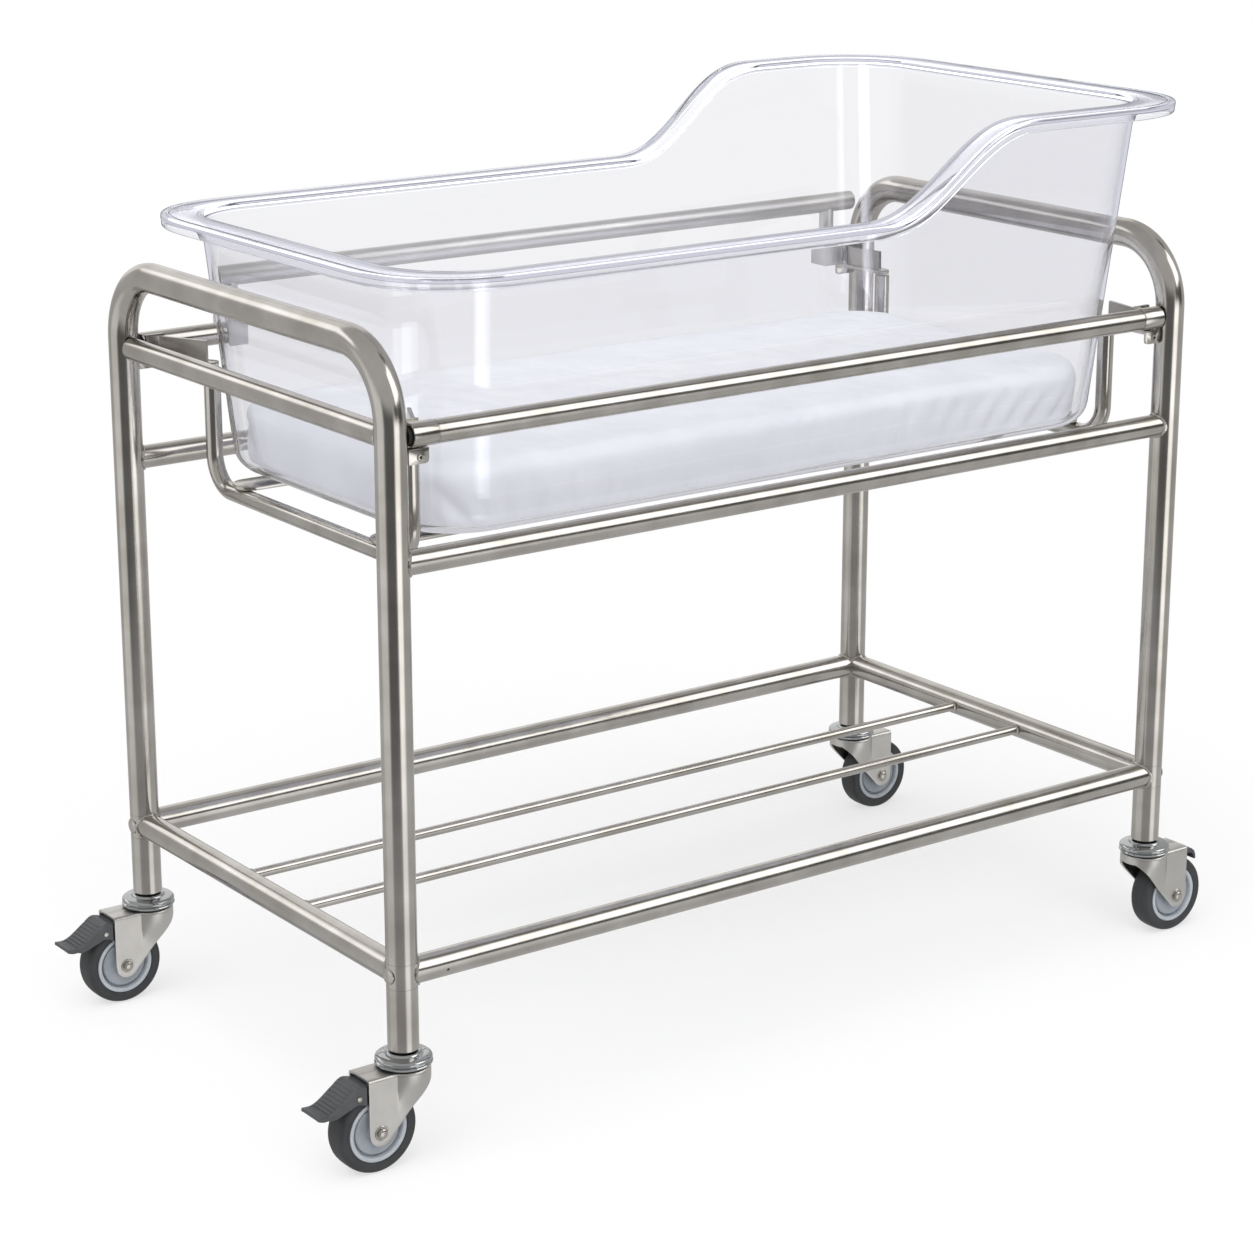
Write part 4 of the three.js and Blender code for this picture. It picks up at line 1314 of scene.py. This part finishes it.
@dataclass
class Caster:
    """A swivel caster, drawn with its wheel trailing towards -X and turned round at the head end."""

    corner: Corner
    stand: Stand
    trail: float = 34.0
    axle: float = 39.75
    wheel_radius: float = 39.75
    crown: float = 91.5
    plate: float = 2.4
    half: float = 16.8
    edge: float = -46.0
    crown_radius: float = 24.0
    flattening: float = 38.0

    def __post_init__(self) -> None:
        """Places the caster under its leg."""
        x = self.stand.ends["foot" if self.corner.end < 0 else "head"]
        y = self.stand.sides["front" if self.corner.side < 0 else "back"]
        turn = 0.0 if self.corner.end < 0 else math.pi
        self.place = Matrix.Translation((x, y, 0)) @ Matrix.Rotation(turn, 4, "Z")
        self.label = self.corner.label
        self.hub = Vector((-self.trail, 0, self.axle)) * MM

    def build(self) -> None:
        """Builds every piece of the caster."""
        self.head()
        self.fork()
        self.bolt()
        self.wheel()
        if f"{self.label}_brake_pedal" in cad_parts:
            self.pedal() if self.corner.end < 0 else self.tab()

    def head(self) -> None:
        """The pressed swivel head with its two rolled races, and two black bands of painted shade: one in the gap
        above the fork's crown, one in the gap below the leg.
        """
        races = [
            (6.0, 88.0), (6.0, 93.2), (24.2, 93.2), (25.3, 93.5), (25.8, 94.1), (25.9, 94.7), (25.5, 95.4),
            (24.6, 95.8), (24.2, 96.2), (24.6, 96.7), (25.3, 97.4), (25.5, 98.5), (25.1, 99.7), (24.0, 100.7),
            (22.4, 101.3), (19.5, 101.8), (17.4, 102.1), (16.6, 102.4), (16.3, 103.1), (15.8, 103.9),
            (14.8, 104.4), (12.8, 104.5), (12.4, 103.6), (4.0, 103.6),
        ]
        # Both black bands are painted shade: the cylinder named plug fills the gap under the leg, the next band the
        # gap above the crown.
        plug = [(11.8, 103.4), (11.8, 128.0)]
        crown_gap_shade = [(23.4, 91.7), (23.4, 93.3)]
        skin = Skin()
        skin.band(turned_rings(races, 56, Axis.Z, Vector()), caps=(True, True))
        skin.band(turned_rings(plug, 32, Axis.Z, Vector()), 1, caps=(True, True))
        skin.band(turned_rings(crown_gap_shade, 56, Axis.Z, Vector()), 1, caps=(True, True))
        node = f"{self.label}_caster_head"
        piece = skin.piece(f"{node}_skin", CHROME, BLACK_PLUG_AND_SHADE, place=self.place)
        settle(piece, "frame", "caster_chrome", node)

    def outline(self, x: float) -> float:
        """Half the width of the fork's crown at a distance from the swivel."""
        if x <= -math.sqrt(self.crown_radius**2 - self.half**2):
            return self.half
        return math.sqrt(max(0.0, self.crown_radius**2 - x * x))

    def hem(self, x: float) -> float:
        """The lower edge of a cheek: round the axle, then straight up to the back."""
        boss, back, top = 12.0, 21.5, 83.0
        away = x + self.trail
        if away <= boss * 0.82:
            return self.axle - math.sqrt(max(0.0, boss * boss - away * away))
        start = -self.trail + boss * 0.82
        low = self.axle - math.sqrt(boss * boss - (boss * 0.82) ** 2)
        return low + (top - low) * min(1.0, (x - start) / (back - start))

    def fork(self) -> None:
        """The stamped fork: a round crown folded down into two cheeks that flatten towards the axle."""
        fold = [(3.2, 0.0), (1.9, 0.2), (0.9, 0.9), (0.2, 1.9), (0.0, 3.2)]
        stops = [self.edge + i * 1.0 for i in range(24)]
        stops += [-22.4, -21.0, -19.4, -18.0, -17.14, -16.0, -14.0, -12.0, -9.0, -6.0, -3.0, 0.0, 3.0, 6.0]
        stops += [9.0, 12.0, 15.0, 18.0, 20.0, 21.5, 22.6, 23.3, 23.7, 23.93, self.crown_radius]
        skin = Skin()
        rows = 18
        for sign in (-1, 1):
            columns = []
            for x in stops:
                wide, hem = self.outline(x), self.hem(x)
                column = [Vector((x, sign * 1e-3, self.crown))]
                column += [Vector((x, sign * max(0.1, wide - inset), self.crown - drop)) for inset, drop in fold]
                high = self.crown - fold[-1][1]
                for row in range(1, rows + 1):
                    z = high + (hem - high) * row / rows
                    t = min(1.0, (high - z) / self.flattening)
                    eased = t * t * (3 - 2 * t) * min(1.0, 2 - 2 * x / self.crown_radius)
                    column.append(Vector((x, sign * (wide + (self.half - wide) * eased), z)))
                columns.append([p * MM for p in column])
            skin.band(columns, loop=False)
        node = f"{self.label}_caster_fork"
        piece = skin.piece(f"{node}_skin", ZINC, place=self.place)
        sheet = piece.modifiers.new("sheet", "SOLIDIFY")
        sheet.thickness, sheet.offset = self.plate * MM, -1.0
        edge = piece.modifiers.new("edge", "BEVEL")
        edge.width, edge.segments, edge.limit_method = 0.4 * MM, 2, "ANGLE"
        edge.angle_limit = math.radians(50)
        settle(piece, f"{self.label}_swivel", "fork_zinc", node)

    def bolt(self) -> None:
        """The axle bolt: a washer ring and a domed head on each cheek, and the shaft between them."""
        seat = self.half
        side = [
            (4.0, 0.0), (4.0, seat), (7.0, seat), (7.1, seat + 0.5), (6.6, seat + 1.0), (5.7, seat + 0.9),
            (5.4, seat + 0.4), (4.9, seat + 0.4), (4.9, seat + 2.0), (4.5, seat + 2.7), (3.4, seat + 3.3),
            (1.8, seat + 3.6), (0.1, seat + 3.7),
        ]
        skin = Skin()
        for sign in (-1, 1):
            rings = turned_rings([(r, sign * y) for r, y in side], 36, Axis.Y, self.hub)
            skin.band(rings, caps=(False, True))
        node = f"{self.label}_caster_axle"
        piece = skin.piece(f"{node}_skin", STAINLESS, place=self.place)
        settle(piece, f"{self.label}_swivel", "caster_chrome", node)

    def wheel(self) -> None:
        """The tyre with its rounded tread, and the wheel centre with its rim, groove and dished disc."""
        body = f"{self.label}_rolling_wheel"
        outer = self.wheel_radius
        tread = [
            (29.2, 10.6), (29.6, 11.5), (31.0, 12.0), (33.4, 12.3), (35.6, 12.2), (outer - 2.4, 11.5),
            (outer - 1.1, 10.1), (outer - 0.4, 8.2), (outer - 0.1, 5.6), (outer, 2.6),
        ]
        profile = tread + [(r, -y) for r, y in reversed(tread)] + tread[:1]
        skin = Skin()
        skin.band(turned_rings(profile, 96, Axis.Y, self.hub))
        node = f"{self.label}_caster_tyre"
        settle(skin.piece(f"{node}_skin", TYRE, place=self.place), body, "tyre_grey", node)
        rim = [
            (29.1, 9.6), (29.1, 10.9), (28.7, 11.4), (27.6, 11.7), (26.4, 11.7), (25.5, 11.4), (25.0, 10.8),
            (24.6, 8.6), (24.3, 5.6), (23.6, 5.2),
        ]
        disc = [
            (23.6, 5.2), (23.0, 5.6), (22.8, 7.6), (22.4, 8.8), (21.4, 9.5), (18.0, 9.3), (14.0, 8.8), (10.0, 8.6),
            (9.2, 9.3), (8.8, 10.0), (8.7, 13.5), (4.3, 13.5),
        ]
        skin = Skin()
        for sign in (-1, 1):
            for slot, part in enumerate((rim, disc)):
                skin.band(turned_rings([(r, sign * y) for r, y in part], 72, Axis.Y, self.hub), slot)
        skin.band(turned_rings([(29.1, 9.6), (29.1, -9.6)], 72, Axis.Y, self.hub))
        skin.band(turned_rings([(4.3, 13.5), (4.3, -13.5)], 72, Axis.Y, self.hub), 1)
        node = f"{self.label}_caster_wheel"
        settle(skin.piece(f"{node}_skin", RIM, DISC, place=self.place), body, "wheel_grey", node)

    def pedal(self) -> None:
        """The brake pedal: a ribbed tread that swings down to a flat lip, with side webs and their screws."""
        body, node = f"{self.label}_brake", f"{self.label}_brake_pedal"
        half, thick = 16.4, 3.4
        length, steps, ribs = 48.0, 192, 8
        rings = []
        for i in range(steps + 1):
            t = i / steps
            x = -48.0 - length * t
            fall = min(1.0, max(0.0, (t - 0.1) / 0.75))
            top = 86.4 + 1.4 * math.sin(math.pi * min(1.0, t / 0.32)) - 17.6 * fall * fall * (3 - 2 * fall)
            top += 1.2 * max(0.0, (t - 0.85) / 0.15) ** 2
            depth = 14.0 * max(0.0, 1 - t / 0.8) ** 0.8 + 0.2
            narrow = half - 1.6 * max(0.0, (t - 0.9) / 0.1) ** 2 - 0.6 * t
            rib = -0.7
            if 0.24 < t < 0.8:
                rib += 1.1 * min(1.0, max(0.0, 2.5 * math.sin(TURN * ribs * (t - 0.24) / 0.56)))
            border = min(1.0, max(0.0, (t - 0.16) / 0.08)) * min(1.0, max(0.0, (0.86 - t) / 0.06))
            ring = []
            across = [-1.0, -0.985, -0.93, -0.84, -0.8, -0.5, -0.25, 0.0, 0.25, 0.5, 0.8, 0.84, 0.93, 0.985, 1.0]
            for share in across:
                droop = {1.0: 2.2, 0.985: 1.0, 0.93: 0.25}.get(abs(share), 0.0)
                lift = rib * border if abs(share) < 0.82 else 0.0
                ring.append(Vector((x, share * narrow, top - droop + lift)))
            low = top - thick - depth
            inner = narrow - 2.8
            ring += [Vector((x, narrow, low)), Vector((x, inner, low)), Vector((x, inner, top - thick))]
            ring += [Vector((x, -inner, top - thick)), Vector((x, -inner, low)), Vector((x, -narrow, low))]
            rings.append([p * MM for p in ring])
        skin = Skin()
        skin.band(rings, caps=(True, True))
        tongue = [
            [Vector((x, y, z)) * MM for y, z in ((-13, 82.3), (13, 82.3), (13, 86.4), (-13, 86.4))]
            for x in (-38.4, -49.0)
        ]
        skin.band(tongue, caps=(True, True))
        for sign in (-1, 1):
            centre = Vector((-55.5, sign * (half - 0.2), 77.5)) * MM
            screw = [(2.6, sign * 0.2), (2.5, sign * 0.8), (1.6, sign * 1.2), (0.5, sign * 1.1)]
            skin.band(turned_rings(screw, 20, Axis.Y, centre), 1, caps=(True, True))
        settle(skin.piece(f"{node}_skin", PEDAL, STAINLESS, place=self.place), body, "pedal_grey", node)

    def tab(self) -> None:
        """The short brake tab that hooks down behind the crown."""
        body, node = f"{self.label}_brake", f"{self.label}_brake_pedal"
        upper = [(-38.4, 86.4), (-46.0, 86.9), (-52.0, 86.8), (-57.0, 85.6), (-60.6, 82.8), (-62.6, 78.6), (-63.2, 73.4)]
        lower = [(-61.2, 73.0), (-60.2, 76.6), (-58.0, 79.6), (-54.6, 81.4), (-50.0, 82.0), (-38.4, 82.2)]
        rings = [[Vector((x, y, z)) * MM for x, z in upper + lower] for y in (-13.0, -6.0, 0.0, 6.0, 13.0)]
        skin = Skin()
        skin.band(rings, caps=(True, True))
        piece = skin.piece(f"{node}_skin", PEDAL, place=self.place)
        edge = piece.modifiers.new("edge", "BEVEL")
        edge.width, edge.segments, edge.limit_method = 0.8 * MM, 2, "ANGLE"
        edge.angle_limit = math.radians(50)
        settle(piece, body, "pedal_grey", node)


# Studio


@dataclass(frozen=True)
class Floor(Finish):
    """White paper that keeps the object's shadow and is plain white to the eye away from it."""

    near: float = 0.75
    far: float = 1.7
    glow: float = 0.64
    mirrored: float = 0.62
    mirrored_share: float = 0.5
    mirrored_near: float = 1.0
    mirrored_far: float = 1.9

    def paint(self, tree: bpy.types.NodeTree) -> None:
        """Fills the floor's node tree."""
        place = add_node(tree, "ShaderNodeTexCoord")
        length = add_node(
            tree, "ShaderNodeVectorMath", settings={"operation": "LENGTH"}, links={0: place.outputs["Object"]}
        )
        glow = add_node(
            tree, "ShaderNodeMapRange", settings={"interpolation_type": "SMOOTHSTEP"},
            values={"From Min": self.near, "From Max": self.far, "To Min": self.glow, "To Max": 1.0},
            links={"Value": length.outputs["Value"]},
        )
        paper = add_node(tree, "ShaderNodeBsdfDiffuse", values={"Color": linear("#F4F4F4")})
        white = add_node(tree, "ShaderNodeEmission", values={"Color": WHITE})
        share = compute(tree, "MULTIPLY", seen_by_eye(tree), glow.outputs["Result"])
        mix = add_node(tree, "ShaderNodeMixShader", links={0: share, 1: paper.outputs[0], 2: white.outputs[0]})
        veil = add_node(
            tree, "ShaderNodeMapRange", settings={"interpolation_type": "SMOOTHSTEP"},
            values={
                "From Min": self.mirrored_near, "From Max": self.mirrored_far,
                "To Min": self.mirrored_share, "To Max": 0.0,
            },
            links={"Value": length.outputs["Value"]},
        )
        clear = add_node(tree, "ShaderNodeBsdfTransparent")
        pale = add_node(tree, "ShaderNodeEmission", values={"Color": WHITE, "Strength": self.mirrored})
        mirror = add_node(
            tree, "ShaderNodeMixShader",
            links={0: veil.outputs["Result"], 1: clear.outputs[0], 2: pale.outputs[0]},
        )
        path = add_node(tree, "ShaderNodeLightPath")
        mix = add_node(
            tree, "ShaderNodeMixShader",
            links={0: path.outputs["Is Glossy Ray"], 1: mix.outputs[0], 2: mirror.outputs[0]},
        )
        self.show(tree, mix.outputs[0])


def seen_by_eye(tree: bpy.types.NodeTree) -> bpy.types.NodeSocket:
    """A socket that is 1 for what the camera sees, straight or through glass, and 0 for other rays."""
    path = add_node(tree, "ShaderNodeLightPath")
    return compute(tree, "MAXIMUM", path.outputs["Is Camera Ray"], path.outputs["Is Transmission Ray"])


@dataclass(frozen=True)
class Lamp:
    """A broad lamp far away: where it shines from, its strength and its spread in degrees."""

    name: str
    source: tuple[float, float, float]
    strength: float
    spread: float

    def build(self) -> None:
        """Adds the lamp, which neither the camera nor a mirror sees."""
        data = bpy.data.lights.new(self.name, "SUN")
        data.energy, data.angle = self.strength, math.radians(self.spread)
        lamp = bpy.data.objects.new(self.name, data)
        lamp.location = Vector(self.source).normalized() * 4
        lamp.rotation_euler = (-Vector(self.source)).to_track_quat("-Z", "Y").to_euler()
        lamp.visible_camera = lamp.visible_glossy = lamp.visible_transmission = False
        bpy.context.scene.collection.objects.link(lamp)


@dataclass(frozen=True)
class Panel:
    """A panel of the studio as metal and glass mirror it: a bright one is a soft box, a dark one a flag.

    Bearings are counted from +X towards +Y and heights from the horizon, in degrees. A reach is half of the panel's
    width or height.
    """

    bearing: float
    bearing_reach: float
    height: float
    height_reach: float
    level: float
    soft: float = 3.0

    def over(
        self, tree: bpy.types.NodeTree, bearing: bpy.types.NodeSocket, height: bpy.types.NodeSocket,
        level: float | bpy.types.NodeSocket,
    ) -> bpy.types.NodeSocket:
        """Lays the panel over a room.

        Args:
            tree: The world's node tree.
            bearing: The bearing of a direction.
            height: Its height.
            level: The room's brightness there.

        Returns:
            The brightness with the panel in it.
        """
        turn = compute(tree, "WRAP", compute(tree, "SUBTRACT", bearing, self.bearing), 180.0, -180.0)
        rise = compute(tree, "SUBTRACT", height, self.height)
        masks = []
        for offset, reach in ((turn, self.bearing_reach), (rise, self.height_reach)):
            mask = add_node(
                tree, "ShaderNodeMapRange", settings={"interpolation_type": "SMOOTHSTEP"},
                values={
                    "From Min": reach - self.soft, "From Max": reach + self.soft, "To Min": 1.0, "To Max": 0.0,
                },
                links={"Value": compute(tree, "ABSOLUTE", offset)},
            )
            masks.append(mask.outputs["Result"])
        share = compute(tree, "MULTIPLY", *masks)
        return compute(tree, "MULTIPLY_ADD", share, compute(tree, "SUBTRACT", self.level, level), level)


@dataclass
class Studio:
    """The pale floor, the white surroundings, the soft boxes and the camera."""

    floor_size: float = 30.0
    camera_place: tuple[float, float, float] = (-1.825, -2.470, 1.265)
    yaw: float = 36.06
    pitch: float = 16.49
    focal_px: float = 3258.0
    image_px: float = 1254.0
    sensor_mm: float = 36.0
    fill: float = 0.5
    lamps: tuple[Lamp, ...] = (
        Lamp("high_lamp", (-0.45, -0.25, 1.0), 1.7, 50.0),
        Lamp("front_lamp", (-0.3, -1.0, 0.55), 1.2, 60.0),
    )
    metal_room: float = 0.55
    metal_panels: tuple[Panel, ...] = (
        Panel(165, 30, -15, 25, 0.9, 8.0),
        Panel(70, 25, 22, 20, 1.0),
        Panel(118, 24, 29, 6.5, 1.8, 2.0),
        Panel(96, 16, -39, 6, 0.15, 2.0),
        Panel(-45, 22, 34, 18, 2.3, 1.5),
        Panel(-14, 11, 55, 10, 0.15, 2.0),
        Panel(-55, 30, 5, 11, 0.1, 2.0),
        Panel(-131, 35, -15, 25, 0.15, 9.0),
        Panel(-77, 18, -18, 17, 1.9, 6.0),
    )
    plastic_room: float = 0.82
    plastic_panels: tuple[Panel, ...] = (
        Panel(0, 180, 80, 30, 3.0),
        Panel(0, 180, 38, 3.5, 0.2, 2.0),
        Panel(0, 180, -5, 3.5, 0.2, 2.0),
        Panel(38, 8, -16, 24, 0.1, 3.0),
        Panel(70, 8, -16, 24, 0.1, 3.0),
        Panel(-90, 7, -26, 20, 5.0, 3.0),
        Panel(176, 12, -26, 20, 3.0, 3.0),
        Panel(-112, 3, 5, 13, 3.5, 1.5),
        Panel(-146, 6, 5, 13, 7.0, 1.5),
    )

    def build(self) -> None:
        """Builds the stage and sets the view transform."""
        self.lay_floor()
        self.surround()
        for lamp in self.lamps:
            lamp.build()
        self.stand_camera()
        bpy.context.scene.view_settings.view_transform = "Standard"

    def lay_floor(self) -> None:
        """The floor plane, which mirrors leave to the panels."""
        half = self.floor_size / 2
        mesh = bpy.data.meshes.new("floor")
        corners = [(-half, -half, 0), (half, -half, 0), (half, half, 0), (-half, half, 0)]
        mesh.from_pydata(corners, [], [(0, 1, 2, 3)])
        mesh.materials.append(Floor("white_paper_floor").material())
        floor = bpy.data.objects.new("floor", mesh)
        bpy.context.scene.collection.objects.link(floor)

    def surround(self) -> None:
        """The surroundings: white to the eye, a soft grey fill as a light, and the panels in mirrors."""
        world = bpy.data.worlds.new("studio")
        bpy.context.scene.world = world
        world.use_nodes = True
        tree = world.node_tree
        tree.nodes.clear()
        place = add_node(tree, "ShaderNodeTexCoord")
        parts = add_node(tree, "ShaderNodeSeparateXYZ", links={0: place.outputs["Generated"]})
        bearing = compute(tree, "DEGREES", compute(tree, "ARCTAN2", parts.outputs["Y"], parts.outputs["X"]))
        height = compute(tree, "DEGREES", compute(tree, "ARCSINE", parts.outputs["Z"]))
        path = add_node(tree, "ShaderNodeLightPath")
        mix = add_node(tree, "ShaderNodeBackground", values={"Color": WHITE, "Strength": self.fill})
        mirrors = (
            ("Is Glossy Ray", "#FFFEFC", self.metal_room, self.metal_panels),
            ("Is Singular Ray", "#EFF0FA", self.plastic_room, self.plastic_panels),
        )
        for ray, colour, room, panels in mirrors:
            level: float | bpy.types.NodeSocket = room
            for panel in panels:
                level = panel.over(tree, bearing, height, level)
            seen = add_node(
                tree, "ShaderNodeBackground", values={"Color": linear(colour)}, links={"Strength": level}
            )
            mix = add_node(
                tree, "ShaderNodeMixShader", links={0: path.outputs[ray], 1: mix.outputs[0], 2: seen.outputs[0]}
            )
        white = add_node(tree, "ShaderNodeBackground", values={"Color": WHITE, "Strength": 1.0})
        mix = add_node(
            tree, "ShaderNodeMixShader", links={0: seen_by_eye(tree), 1: mix.outputs[0], 2: white.outputs[0]}
        )
        add_node(tree, "ShaderNodeOutputWorld", links={"Surface": mix.outputs[0]})

    def stand_camera(self) -> None:
        """The camera, at the photograph's viewing angle."""
        data = bpy.data.cameras.new("camera")
        data.sensor_width = self.sensor_mm
        data.lens = self.focal_px / self.image_px * self.sensor_mm
        camera = bpy.data.objects.new("camera", data)
        camera.location = self.camera_place
        camera.rotation_euler = (math.radians(90 - self.pitch), 0, math.radians(-self.yaw))
        bpy.context.scene.collection.objects.link(camera)
        bpy.context.scene.camera = camera


def note_sizes() -> None:
    """Updates the view layer."""
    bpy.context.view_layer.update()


def main() -> None:
    """Builds the bassinet and its studio."""
    logging.basicConfig(level=logging.INFO, format="%(message)s")
    Studio().build()
    stand = Stand()
    stand.build()
    Cradle().build()
    tub = Tub()
    tub.build()
    Mattress(tub).build()
    for corner in Corner:
        Caster(corner, stand).build()
    note_sizes()


if __name__ == "__main__":
    main()
